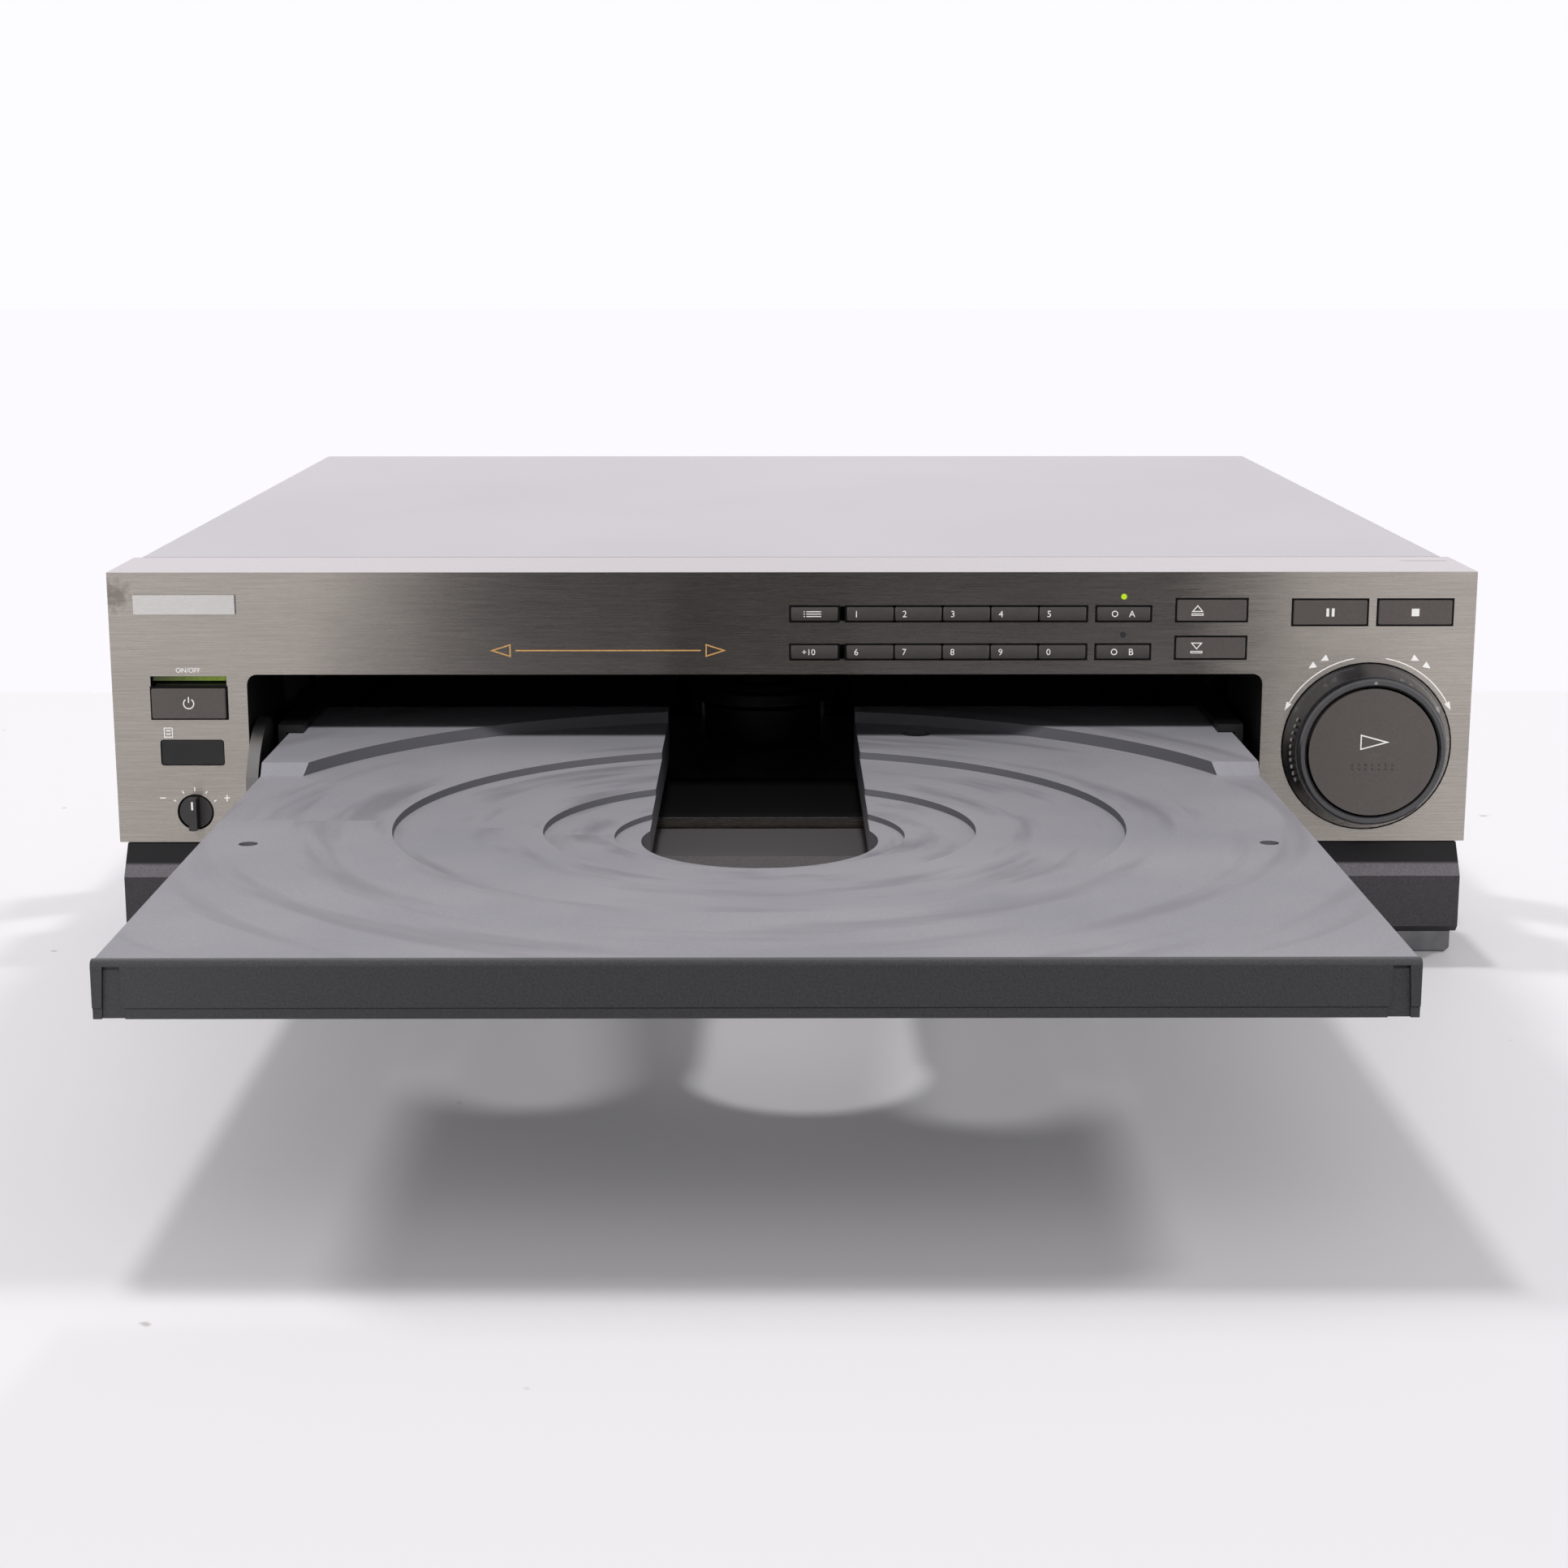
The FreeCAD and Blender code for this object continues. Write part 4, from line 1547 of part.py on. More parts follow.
def make_pickup():
    """Pickup sled with its lens on two rods."""
    rods = [rod(f"{name}_rod", "y", (size.tray_centre + side * size.rod_offset, size.rod_rise), rod_y,
                size.rod_radius) for name, side in (("left", -1), ("right", 1))]
    keep(fuse("rod_pair", rods), "pickup_rods")
    sled_z = about(size.rod_rise, size.sled_height)
    block = box("sled_block", about(size.tray_centre, 2 * size.sled_half), sled_y, sled_z)
    lens = rod("sled_lens", "z", (size.tray_centre, (sled_y[0] + sled_y[1]) / 2),
               (sled_z[1], sled_z[1] + size.lens_height), size.lens_radius)
    bores = [rod(f"{name}_sled_bore", "y", (size.tray_centre + side * size.rod_offset, size.rod_rise), sled_y,
                 size.rod_radius + size.running_gap) for name, side in (("left", -1), ("right", 1))]
    keep(cut("sled_bored", fuse("sled_whole", [block, lens]), bores), "pickup_sled")


# boards on the base
main_board_x = about(size.tray_centre, size.main_board_width)
main_board_y = (front + size.main_board_reach, front + size.main_board_reach + size.main_board_length)
supply_middle = base_x[1] - size.base_wall - size.supply_side_gap - size.supply_width / 2
supply_x = about(supply_middle, size.supply_width)
supply_y = (front + size.supply_reach, front + size.supply_reach + size.supply_length)
CHIP_COLUMNS = 4
CHIP_ROWS = 3
SUPPLY_CANS = 4


def make_inner_boards():
    """Main board with its chips and cans, power supply board with its capacitors, and transformer."""
    board_z = (size.main_board_rise, size.main_board_rise + size.board_thick)
    top = board_z[1]
    parts = [box("main_board_sheet", main_board_x, main_board_y, board_z)]
    for column in range(CHIP_COLUMNS):
        x = main_board_x[0] + size.main_board_width * (column + 1) / (CHIP_COLUMNS + 1)
        for row in range(CHIP_ROWS):
            y = main_board_y[0] + size.main_board_length * (row + 1) / (CHIP_ROWS + 1)
            parts.append(box(f"chip_{column}_{row}", about(x, (2 + column) * size.chip_side),
                             about(y, size.chip_depth), (top, top + size.chip_thick)))
            parts.append(rod(f"capacitor_{column}_{row}", "z", (x, y + size.can_offset),
                             (top, top + size.can_height), size.can_radius))
    keep(fuse("main_board_parts", parts), "main_board")

    parts = [box("supply_board_sheet", supply_x, supply_y, board_z)]
    for index in range(SUPPLY_CANS):
        y = supply_y[0] + size.supply_can_pitch * (index + 1)
        can_height = size.supply_can_height + size.supply_can_step * index
        parts.append(rod(f"supply_capacitor_{index}", "z", (supply_middle - size.supply_can_radius, y),
                         (top, top + can_height), size.supply_can_radius))
    sink_x = (supply_x[1] - size.heat_sink_inset, supply_x[1] - size.heat_sink_inset + size.heat_sink_thick)
    sink_y = (supply_y[0] + size.heat_sink_inset, supply_y[0] + size.supply_length / 2)
    parts.append(box("heat_sink", sink_x, sink_y, (top, top + size.heat_sink_height)))
    keep(fuse("supply_board_parts", parts), "power_supply_board")

    core_top = top + size.transformer_height
    core_rear = supply_y[1] - size.transformer_inset
    core_y = (core_rear - size.transformer_length, core_rear)
    core = box("transformer_core", about(supply_middle, size.core_width), core_y, (top, core_top))
    coil = box("transformer_coil", about(supply_middle, size.transformer_width),
               (core_y[0] + size.coil_inset, core_y[1] - size.coil_inset),
               (top + size.coil_inset, core_top - size.coil_inset))
    keep(fuse("transformer_whole", [core, coil]), "transformer")


make_fascia()
make_front_frame()
make_keys()
make_shuttle_ring()
make_play_key()
make_dial()
make_panel_trim()
make_control_boards()
make_base()
make_feet()
make_top_cover()
make_cover_screws()
make_rear_panel()
make_rear_sockets()
make_tray()
make_tray_front()
make_tray_drive()
make_rails()
make_flap()
make_flap_arm()
make_flap_pins()
make_mechanism_plate()
make_dampers()
make_disc_drive()
make_clamp()
make_pickup()
make_inner_boards()
doc.recompute()

for thing in doc.Objects:
    if "Invalid" in thing.State or "Error" in thing.State:
        raise RuntimeError(f"{thing.Label} failed: {thing.State}")
for feature in doc.Objects:
    if feature.TypeId == "PartDesign::Pocket" and feature.Shape.Volume >= feature.BaseFeature.Shape.Volume:
        raise RuntimeError(f"{feature.Label} cuts nothing")
for node in nodes:
    if node.Shape.isNull() or not node.Shape.isValid():
        raise RuntimeError(f"{node.Label} has no valid shape")

os.makedirs("parts", exist_ok=True)
for node in nodes:
    node.Shape.exportStep(os.path.join("parts", f"{node.Label}.step"))
print(f"{len(nodes)} pieces")
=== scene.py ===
import math

import bmesh
import bpy
from mathutils import Matrix, Vector


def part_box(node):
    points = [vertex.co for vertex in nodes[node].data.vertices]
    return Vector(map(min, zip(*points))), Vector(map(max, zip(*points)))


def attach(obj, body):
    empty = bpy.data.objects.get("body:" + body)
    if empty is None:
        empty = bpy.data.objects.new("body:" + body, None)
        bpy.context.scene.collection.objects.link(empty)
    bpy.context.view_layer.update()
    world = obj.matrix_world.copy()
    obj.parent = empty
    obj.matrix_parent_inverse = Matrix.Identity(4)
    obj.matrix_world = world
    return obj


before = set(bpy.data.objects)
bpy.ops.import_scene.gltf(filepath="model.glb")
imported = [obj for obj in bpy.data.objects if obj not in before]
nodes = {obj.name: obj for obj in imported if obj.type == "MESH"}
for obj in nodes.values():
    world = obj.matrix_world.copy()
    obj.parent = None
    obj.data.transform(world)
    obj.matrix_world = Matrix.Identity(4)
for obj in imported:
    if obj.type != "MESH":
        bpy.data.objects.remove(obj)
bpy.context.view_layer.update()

mm = 0.001


# Camera: stands in front of the player at the height of a seated person's eyes and looks
# slightly down, so that the front panel, the top of the tray and the cover all show.
camera_data = bpy.data.cameras.new("camera")
camera_data.lens = 61.51
camera_data.sensor_width = 36
camera = bpy.data.objects.new("camera", camera_data)
camera.location = (-6.7 * mm, -925.45 * mm, 230.9 * mm)
camera.rotation_euler = (math.radians(78.05), 0, math.radians(-0.27))
bpy.context.scene.collection.objects.link(camera)
bpy.context.scene.camera = camera


# Front panel: one aluminium sheet bent back along its top and its sides, brushed from end to end
# and clear anodised. The brushing blurs what it mirrors up and down and leaves it sharp across.
def linear(code):
    """An sRGB hex value as linear red, green and blue, with a full alpha."""
    parts = [int(code[i:i + 2], 16) / 255 for i in (1, 3, 5)]
    return (*(c / 12.92 if c <= 0.04045 else ((c + 0.055) / 1.055) ** 2.4 for c in parts), 1.0)


def add(tree, kind, settings):
    """Adds a shader node. A setting is a property, a socket's value, or the stops of a colour ramp.

    A socket can also be driven by another one, or by a node, which stands for its own first socket.
    """
    made = tree.nodes.new("ShaderNode" + kind)
    for name, value in settings.items():
        if isinstance(value, (bpy.types.Node, bpy.types.NodeSocket)):
            tree.links.new(getattr(value, "outputs", [value])[0], made.inputs[name])
        elif name == "stops":
            for order, (at, colour) in enumerate(value):
                stop = made.color_ramp.elements[order] if order < 2 else made.color_ramp.elements.new(at)
                stop.position, stop.color = at, linear(colour)
        elif isinstance(name, str) and hasattr(made, name):
            setattr(made, name, value)
        else:
            made.inputs[name].default_value = linear(value) if isinstance(value, str) else value
    return made


def new_finish(name, **uniform):
    """A material with one surface shader, and the place on the piece that its patterns follow.

    Words with underscores name the shader's own sockets.
    """
    material = bpy.data.materials.new(name)
    material.use_nodes = True
    shader = material.node_tree.nodes["Principled BSDF"]
    for socket, value in uniform.items():
        shader.inputs[socket.replace("_", " ")].default_value = value
    place = add(material.node_tree, "TexCoord", {}).outputs["Object"]
    return material, material.node_tree, shader, place


def drive(shader, **sources):
    """Links what drives the surface shader's sockets, from a socket or from a node's first socket."""
    for socket, source in sources.items():
        output = getattr(source, "outputs", [source])[0]
        shader.id_data.links.new(output, shader.inputs[socket.replace("_", " ")])


def finish(material, *names):
    """Gives CAD nodes a material."""
    for name in names:
        for carrier in nodes[name].material_slots:
            carrier.material = material
        if not nodes[name].material_slots:
            nodes[name].data.materials.append(material)


aluminium, tree, shader, place = new_finish("brushed_anodised_aluminium", Metallic=1.0, Anisotropic=1.0)
# real brush lines are about 0.05 mm wide and 20 to 60 mm long; they are drawn 0.2 mm wide to show
lines_place = add(tree, "Mapping", {"Scale": (45, 5200, 5200), "Vector": place})
lines = add(tree, "TexNoise", {"Scale": 1.0, "Detail": 3.0, "Roughness": 0.65, "Vector": lines_place})
# handling leaves broad, faint clouds on the anodising
clouds_place = add(tree, "Mapping", {"Scale": (9, 30, 30), "Vector": place})
clouds = add(tree, "TexNoise", {"Scale": 1.0, "Detail": 2.0, "Vector": clouds_place})
line_tone = add(tree, "ValToRGB", {"stops": ((0.3, "#a29c95"), (0.7, "#bab3ab")), "Fac": lines})
cloud_tone = add(tree, "MapRange", {"From Min": 0.3, "From Max": 0.7, "To Min": 0.93, "To Max": 1.04,
                                    "Value": clouds})
toned = add(tree, "VectorMath", {"operation": "SCALE", 0: line_tone, "Scale": cloud_tone})
# the left top corner is rubbed through to bare, duller metal
panel_low, panel_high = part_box("fascia")
corner = add(tree, "VectorMath", {"operation": "DISTANCE",
                                  1: (panel_low.x + 2 * mm, panel_low.y, panel_high.z - 7 * mm), 0: place})
rub_edge = add(tree, "TexNoise", {"Scale": 420.0, "Detail": 4.0, "Vector": place})
rub_reach = add(tree, "Math", {"operation": "MULTIPLY_ADD", 1: 12 * mm, 2: -6 * mm, 0: rub_edge})
rub_sum = add(tree, "Math", {"operation": "ADD", 0: corner.outputs["Value"], 1: rub_reach})
rub = add(tree, "MapRange", {"From Min": 5.5 * mm, "From Max": 1.5 * mm, "To Max": 0.5, "Value": rub_sum})
# painted highlight: the return along the top is painted paler than the face, for the light that it catches
# from above
facing = add(tree, "NewGeometry", {})
sides = add(tree, "SeparateXYZ", {"Vector": facing.outputs["Normal"]})
ground = add(tree, "MapRange", {"From Min": 0.5, "From Max": 0.9, "Value": sides.outputs["Z"]})
top_highlighted = add(tree, "Mix", {"data_type": "RGBA", 7: "#ddd7d9", 0: ground, 6: toned})
worn = add(tree, "Mix", {"data_type": "RGBA", 7: "#6d675f", 0: rub, 6: top_highlighted.outputs[2]})
line_shine = add(tree, "MapRange", {"From Min": 0.3, "From Max": 0.7, "To Min": 0.24, "To Max": 0.3,
                                    "Value": lines})
shine = add(tree, "Math", {"operation": "MULTIPLY_ADD", 1: 0.2, 0: rub, 2: line_shine})
relief = add(tree, "Bump", {"Strength": 0.06, "Distance": 0.02 * mm, "Height": lines})
# the lines run across the panel and along its side returns, so the blur lies square to them
across = add(tree, "VectorMath", {"operation": "CROSS_PRODUCT", 1: (1, 0.02, 0), 0: facing.outputs["Normal"]})
drive(shader, Base_Color=worn.outputs[2], Roughness=shine, Normal=relief, Tangent=across)
finish(aluminium, "fascia")


# Printing on the front panel: marks screen printed in one thin coat of pale ink, with short ticks
# round the dial, arrows round the shuttle ring, and one long hairline in gold over the tray.
ink_thick = 0.05 * mm
ink_sunk = 0.015 * mm


def make_piece(shape, name, body, material, smooth=False):
    """Makes a finished bmesh a piece that rides on a body."""
    mesh = bpy.data.meshes.new(name)
    shape.to_mesh(mesh)
    shape.free()
    for face in mesh.polygons:
        face.use_smooth = smooth
    mesh.materials.append(material)
    piece = bpy.data.objects.new(name, mesh)
    bpy.context.scene.collection.objects.link(piece)
    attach(piece, body)
    return piece


def front_of(carrier, x, z):
    """Where a CAD node's front surface stands at x and z, and the way that it faces there."""
    found, where, normal, face = nodes[carrier].ray_cast(Vector((x, -0.5, z)), Vector((0, 1, 0)))
    if not found:
        raise ValueError(f"{carrier} has no front at {x}, {z}")
    return where, normal


def print_on(drawing, name, x, z, carrier, body, ink):
    """Makes a flat drawing a coat of ink on a carrier's front surface, with its middle at x and z."""
    raised = bmesh.ops.extrude_face_region(drawing, geom=drawing.faces[:])
    coat = [v for v in raised["geom"] if isinstance(v, bmesh.types.BMVert)]
    bmesh.ops.translate(drawing, verts=coat, vec=(0, 0, ink_thick))
    upright = Matrix.Rotation(math.pi / 2, 3, "X")
    bmesh.ops.rotate(drawing, verts=drawing.verts, cent=(0, 0, 0), matrix=upright)
    bmesh.ops.translate(drawing, verts=drawing.verts, vec=(x, 0, z))
    for v in drawing.verts:
        v.co.y += front_of(carrier, v.co.x, v.co.z)[0].y + ink_sunk
    bmesh.ops.recalc_face_normals(drawing, faces=drawing.faces)
    return make_piece(drawing, name, body, ink)


def letters(words, height):
    """Flat letters of a given height, round the middle."""
    text = bpy.data.curves.new("letters", "FONT")
    text.body = words
    text.resolution_u = 4
    holder = bpy.data.objects.new("letters", text)
    bpy.context.scene.collection.objects.link(holder)
    bpy.context.view_layer.update()
    flat = bpy.data.meshes.new_from_object(holder)
    bpy.data.objects.remove(holder)
    bpy.data.curves.remove(text)
    drawing = bmesh.new()
    drawing.from_mesh(flat)
    bpy.data.meshes.remove(flat)
    bmesh.ops.remove_doubles(drawing, verts=drawing.verts, dist=1e-5)
    low = Vector((min(v.co.x for v in drawing.verts), min(v.co.y for v in drawing.verts), 0))
    high = Vector((max(v.co.x for v in drawing.verts), max(v.co.y for v in drawing.verts), 0))
    bmesh.ops.translate(drawing, verts=drawing.verts, vec=-(low + high) / 2)
    bmesh.ops.scale(drawing, verts=drawing.verts, vec=[height / (high.y - low.y)] * 3)
    return drawing


def add_shape(drawing, corners):
    """Adds one flat shape, given by its corners in millimetres, to a drawing."""
    return drawing.faces.new([drawing.verts.new((x * mm, y * mm, 0)) for x, y in corners])


def add_bar(drawing, x, y, width, height):
    """Adds one upright bar, given in millimetres, to a drawing."""
    w, h = width / 2, height / 2
    return add_shape(drawing, ((x - w, y - h), (x + w, y - h), (x + w, y + h), (x - w, y + h)))


def add_outline(drawing, corners, line):
    """Adds a closed line of a given width, in millimetres, inside a shape's edges."""
    whole = add_shape(drawing, corners)
    whole.normal_update()
    bmesh.ops.inset_region(drawing, faces=[whole], thickness=line * mm, use_even_offset=True,
                           use_boundary=True)
    bmesh.ops.delete(drawing, geom=[whole], context="FACES")


def add_arc(drawing, radius, line, start, end, centre=(0, 0)):
    """Adds an arc about a centre, in millimetres and in degrees clockwise from the top."""
    top = centre[1] + radius
    ends = [drawing.verts.new((centre[0] * mm, (top + side * line / 2) * mm, 0)) for side in (-1, 1)]
    edge = drawing.edges.new(ends)
    bmesh.ops.rotate(drawing, verts=ends, cent=(centre[0] * mm, centre[1] * mm, 0),
                     matrix=Matrix.Rotation(-math.radians(start), 3, "Z"))
    bmesh.ops.spin(drawing, geom=[*ends, edge], cent=(centre[0] * mm, centre[1] * mm, 0), axis=(0, 0, 1),
                   angle=-math.radians(end - start), steps=max(4, int(abs(end - start) / 4)))


def vary(tree, shader, pattern, dark, light, spread=(0.3, 0.7), shine=None, relief=None):
    """Lets one pattern drive the surface's tone, and its roughness and relief where they are given.

    Relief is a strength and a depth in millimetres.
    """
    tone = add(tree, "ValToRGB", {"stops": ((spread[0], dark), (spread[1], light)), "Fac": pattern})
    drive(shader, Base_Color=tone)
    if shine:
        gloss = add(tree, "MapRange", {"To Min": shine[0], "To Max": shine[1], "Value": pattern})
        drive(shader, Roughness=gloss)
    if relief:
        bump = add(tree, "Bump", {"Strength": relief[0], "Distance": relief[1] * mm, "Height": pattern})
        drive(shader, Normal=bump)


def grained_finish(name, grain, dark, light, spread=(0.3, 0.7), shine=None, relief=None, **uniform):
    """A finish whose tone and roughness follow one noise, given by its scale and detail.

    Relief is the scale of a second noise, its strength and its depth in millimetres.
    """
    material, tree, shader, place = new_finish(name, **uniform)
    noise = add(tree, "TexNoise", {"Scale": grain[0], "Detail": grain[1], "Vector": place})
    vary(tree, shader, noise, dark, light, spread, shine)
    if relief:
        scale, strength, depth = relief
        skin = add(tree, "TexNoise", {"Scale": scale, "Detail": 2.0, "Vector": place})
        bump = add(tree, "Bump", {"Strength": strength, "Distance": depth * mm, "Height": skin})
        drive(shader, Normal=bump)
    return material


# the mesh of the screen leaves the coats uneven over about 0.2 mm
ink = grained_finish("pale_screen_print_ink", (5000.0, 2.0), "#c9c7c4", "#dedcd8", spread=(0.3, 0.65),
                     Roughness=0.62)

gold_ink = grained_finish("gold_screen_print_ink", (4000.0, 2.0), "#b08348", "#e0b272",
                          Metallic=0.25, Roughness=0.5)

grey_ink = grained_finish("grey_screen_print_ink", (5000.0, 2.0), "#d6d4d2", "#e8e6e4", spread=(0.3, 0.65),
                          Roughness=0.62)

recess_low, recess_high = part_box("power_light_bar")
print_on(letters("ON/OFF", 1.5 * mm), "power_marking", (recess_low.x + recess_high.x) / 2,
         recess_high.z + 2.0 * mm, "fascia", "player_body", grey_ink)

window_low, window_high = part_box("remote_window")
drawing = bmesh.new()
add_outline(drawing, ((-1.4, -1.6), (1.4, -1.6), (1.4, 1.6), (-1.4, 1.6)), 0.25)
add_bar(drawing, 0, 0.6, 1.4, 0.35)
add_bar(drawing, 0, -0.5, 1.4, 0.35)
print_on(drawing, "window_marking", window_low.x + 2.4 * mm, window_high.z + 2.6 * mm,
         "fascia", "player_body", grey_ink)

dial_low, dial_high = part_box("picture_dial")
dial_x, dial_z = (dial_low.x + dial_high.x) / 2, (dial_low.z + dial_high.z) / 2
drawing = bmesh.new()
for turn in (-60, -30, 0, 30, 60):
    add_arc(drawing, 7.4, 1.3 if turn == 0 else 0.9, turn - 1.4, turn + 1.4)
print_on(drawing, "dial_ticks", dial_x, dial_z, "fascia", "player_body", grey_ink)
drawing = bmesh.new()
add_bar(drawing, -10.2, 4.6, 1.8, 0.35)
add_bar(drawing, 10.2, 4.6, 1.8, 0.35)
add_bar(drawing, 10.2, 5.225, 0.35, 0.9)
add_bar(drawing, 10.2, 3.975, 0.35, 0.9)
print_on(drawing, "dial_marking", dial_x, dial_z, "fascia", "player_body", grey_ink)

gold_low, gold_high, gold_head = -95.4, -21.0, 6.5
drawing = bmesh.new()
add_bar(drawing, (gold_low + gold_high) / 2, 0, gold_high - gold_low - 16, 0.4)
add_outline(drawing, ((gold_low, 0), (gold_low + gold_head, -2.1), (gold_low + gold_head, 2.1)), 0.4)
add_outline(drawing, ((gold_high - gold_head, -2.1), (gold_high, 0), (gold_high - gold_head, 2.1)), 0.4)
print_on(drawing, "gold_marking", 0, 97.2 * mm, "fascia", "player_body", gold_ink)

ring_low, ring_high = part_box("shuttle_ring")
ring_x, ring_z = (ring_low.x + ring_high.x) / 2, (ring_low.z + ring_high.z) / 2
drawing = bmesh.new()
for side in (-1, 1):
    add_arc(drawing, 28.7, 0.35, side * 10, side * 61)
    # each arc ends in a head, and two more heads stand over its middle
    for turn, radius, length, foot, half in (
        (61, 28.7, 2.6, 0.2, 0.9), (27, 31.6, 1.4, 1.0, 1.1), (35, 31.6, 1.4, 1.0, 1.1),
    ):
        turned = Matrix.Rotation(-math.radians(side * turn), 2)
        middle, ahead = turned @ Vector((0, radius)), turned @ Vector((side, 0))
        up = middle.normalized()
        add_shape(drawing, [middle + ahead * reach + up * width
                            for reach, width in ((length, 0), (-foot, half), (-foot, -half))])
print_on(drawing, "ring_arrows", ring_x, ring_z, "fascia", "player_body", grey_ink)


# Name plate: a bare plate stamped from zinc sheet, plated bright and brushed fine across. It is
# stuck in the panel's upper left corner.
plate_metal, tree, shader, place = new_finish("bright_plated_zinc", Metallic=1.0)
hairs_place = add(tree, "Mapping", {"Scale": (700, 2400, 5200), "Vector": place})
hairs = add(tree, "TexNoise", {"Scale": 1.0, "Detail": 3.0, "Vector": hairs_place})
vary(tree, shader, hairs, "#cbc9c6", "#dedcd9", shine=(0.14, 0.3))
finish(plate_metal, "badge_plate")


# Sub-panel, guide rails and the disc motor's case: black ABS, moulded with a spark-eroded texture,
# so they look soft black with a faint sparkle.
# grains of the tool's texture are about 0.15 mm; they are drawn 0.35 mm wide to show
black_abs = grained_finish("black_moulded_abs", (2800.0, 2.0), "#0a0a0b", "#141415", spread=(0.35, 0.7),
                           shine=(0.42, 0.62), relief=(2800.0, 0.3, 0.03))
finish(black_abs, "front_frame", "left_guide_rail", "right_guide_rail", "spindle_motor")


def add_block(drawing, stands, size, rounding, steps):
    """Adds a block with rounded edges; its size is in millimetres."""
    shape = Matrix.Diagonal((*(side * mm for side in size), 1))
    block = bmesh.ops.create_cube(drawing, size=1.0, matrix=stands @ shape)
    edges = {edge for v in block["verts"] for edge in v.link_edges}
    bmesh.ops.bevel(drawing, geom=list(edges), affect="EDGES", offset=rounding * mm, segments=steps,
                    profile=0.5, material=-1)


# a strip of the same black ABS lines the upper edge of the tray's mouth, clear of the disc's way
mouth_lip = bmesh.new()
add_block(mouth_lip, Matrix.Translation((-15.9 * mm, -85.5 * mm, 89.6 * mm)), (317.2, 1.6, 1.8), 0.3, 3)
make_piece(mouth_lip, "mouth_lip", "player_body", black_abs, smooth=True)


# Keys: ABS caps in a warm dark grey lacquer with a satin sheen, brighter where fingers have
# polished the middle. Their figures and marks are printed in the same ink as the panel's.
low_keys = ("program_key", "plus_ten_key", "side_a_key", "side_b_key",
            *(f"key_{figure}" for figure in range(10)))
tall_keys = ("open_key", "close_key", "pause_key", "stop_key", "power_key")
key_rows_z = 108.8 * mm, 96.7 * mm
for name, crown, dark, light, keys in (
    ("satin_grey_key_lacquer", 0.0, "#47423f", "#544f4c", (*tall_keys, "play_key")),
    ("satin_charcoal_key_lacquer", -100.0, "#3b3836", "#484442", low_keys),
):
    lacquer, tree, shader, place = new_finish(name, Metallic=0.2)
    # metal flakes in the lacquer are about 0.05 mm; they are drawn 0.25 mm wide to show
    flake = add(tree, "TexNoise", {"Scale": 3600.0, "Detail": 2.0, "Vector": place})
    touch = add(tree, "TexNoise", {"Scale": 150.0, "Detail": 2.0, "Vector": place})
    flake_tone = add(tree, "ValToRGB", {"stops": ((0.3, dark), (0.7, light)), "Fac": flake})
    touch_shine = add(tree, "MapRange", {"From Min": 0.35, "From Max": 0.65, "To Min": 0.34, "To Max": 0.46,
                                         "Value": touch})
    relief = add(tree, "Bump", {"Strength": 0.12, "Distance": 0.02 * mm, "Height": flake})
    # the number keys' caps are crowned from top to bottom, about the middle of each of the two rows
    height = add(tree, "SeparateXYZ", {"Vector": place})
    gaps = []
    for row_z in key_rows_z:
        over = add(tree, "Math", {"operation": "SUBTRACT", 0: height.outputs["Z"], 1: row_z})
        gaps.append(add(tree, "Math", {"operation": "ABSOLUTE", 0: over}))
    off_middle = add(tree, "Math", {"operation": "MINIMUM", 0: gaps[0], 1: gaps[1]})
    squared = add(tree, "Math", {"operation": "MULTIPLY", 0: off_middle, 1: off_middle})
    fall = add(tree, "Math", {"operation": "MULTIPLY", 1: crown, 0: squared})
    cap = add(tree, "Bump", {"Strength": 1.0, "Distance": 1.0, "Height": fall, "Normal": relief})
    drive(shader, Base_Color=flake_tone, Roughness=touch_shine, Normal=cap)
    finish(lacquer, *keys)


# painted shade: a thin matt black frame round each key opening stands for the shade in the gap round the key,
# so each key stands in a dark line
painted_gap_shade = grained_finish("painted_key_gap_shade", (1500.0, 2.0), "#070707", "#121212",
                            Roughness=0.9, Specular_IOR_Level=0.15)
gap_shade_frames = bmesh.new()
key_gap, shade_reach = 0.05 * mm, 0.6 * mm
for name in (*low_keys, *tall_keys):
    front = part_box(name)[0].y + 0.1 * mm
    face_x = [v.co.x for v in nodes[name].data.vertices if v.co.y < front]
    face_z = [v.co.z for v in nodes[name].data.vertices if v.co.y < front]
    rings = []
    for reach in (key_gap, shade_reach):
        left, right = min(face_x) - reach, max(face_x) + reach
        bottom, top = min(face_z) - reach, max(face_z) + reach
        rings.append([gap_shade_frames.verts.new((x, panel_low.y + ink_sunk, z)) for x, z in (
            (left, bottom), (right, bottom), (right, top), (left, top))])
    for side in range(4):
        gap_shade_frames.faces.new((rings[0][side], rings[0][side - 1], rings[1][side - 1], rings[1][side]))
raised = bmesh.ops.extrude_face_region(gap_shade_frames, geom=gap_shade_frames.faces[:])
bmesh.ops.translate(gap_shade_frames, verts=[v for v in raised["geom"] if isinstance(v, bmesh.types.BMVert)],
                    vec=(0, -ink_thick, 0))
bmesh.ops.recalc_face_normals(gap_shade_frames, faces=gap_shade_frames.faces)
make_piece(gap_shade_frames, "key_gap_shades", "player_body", painted_gap_shade)


def print_key(drawing, name, key, x=0.0, z=0.0):
    """Prints a drawing on a key, a given number of millimetres off the key's middle."""
    low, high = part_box(key)
    middle_x, middle_z = (low.x + high.x) / 2, (low.z + high.z) / 2
    print_on(drawing, name, middle_x + x * mm, middle_z + z * mm, key, f"{key}_body", ink)


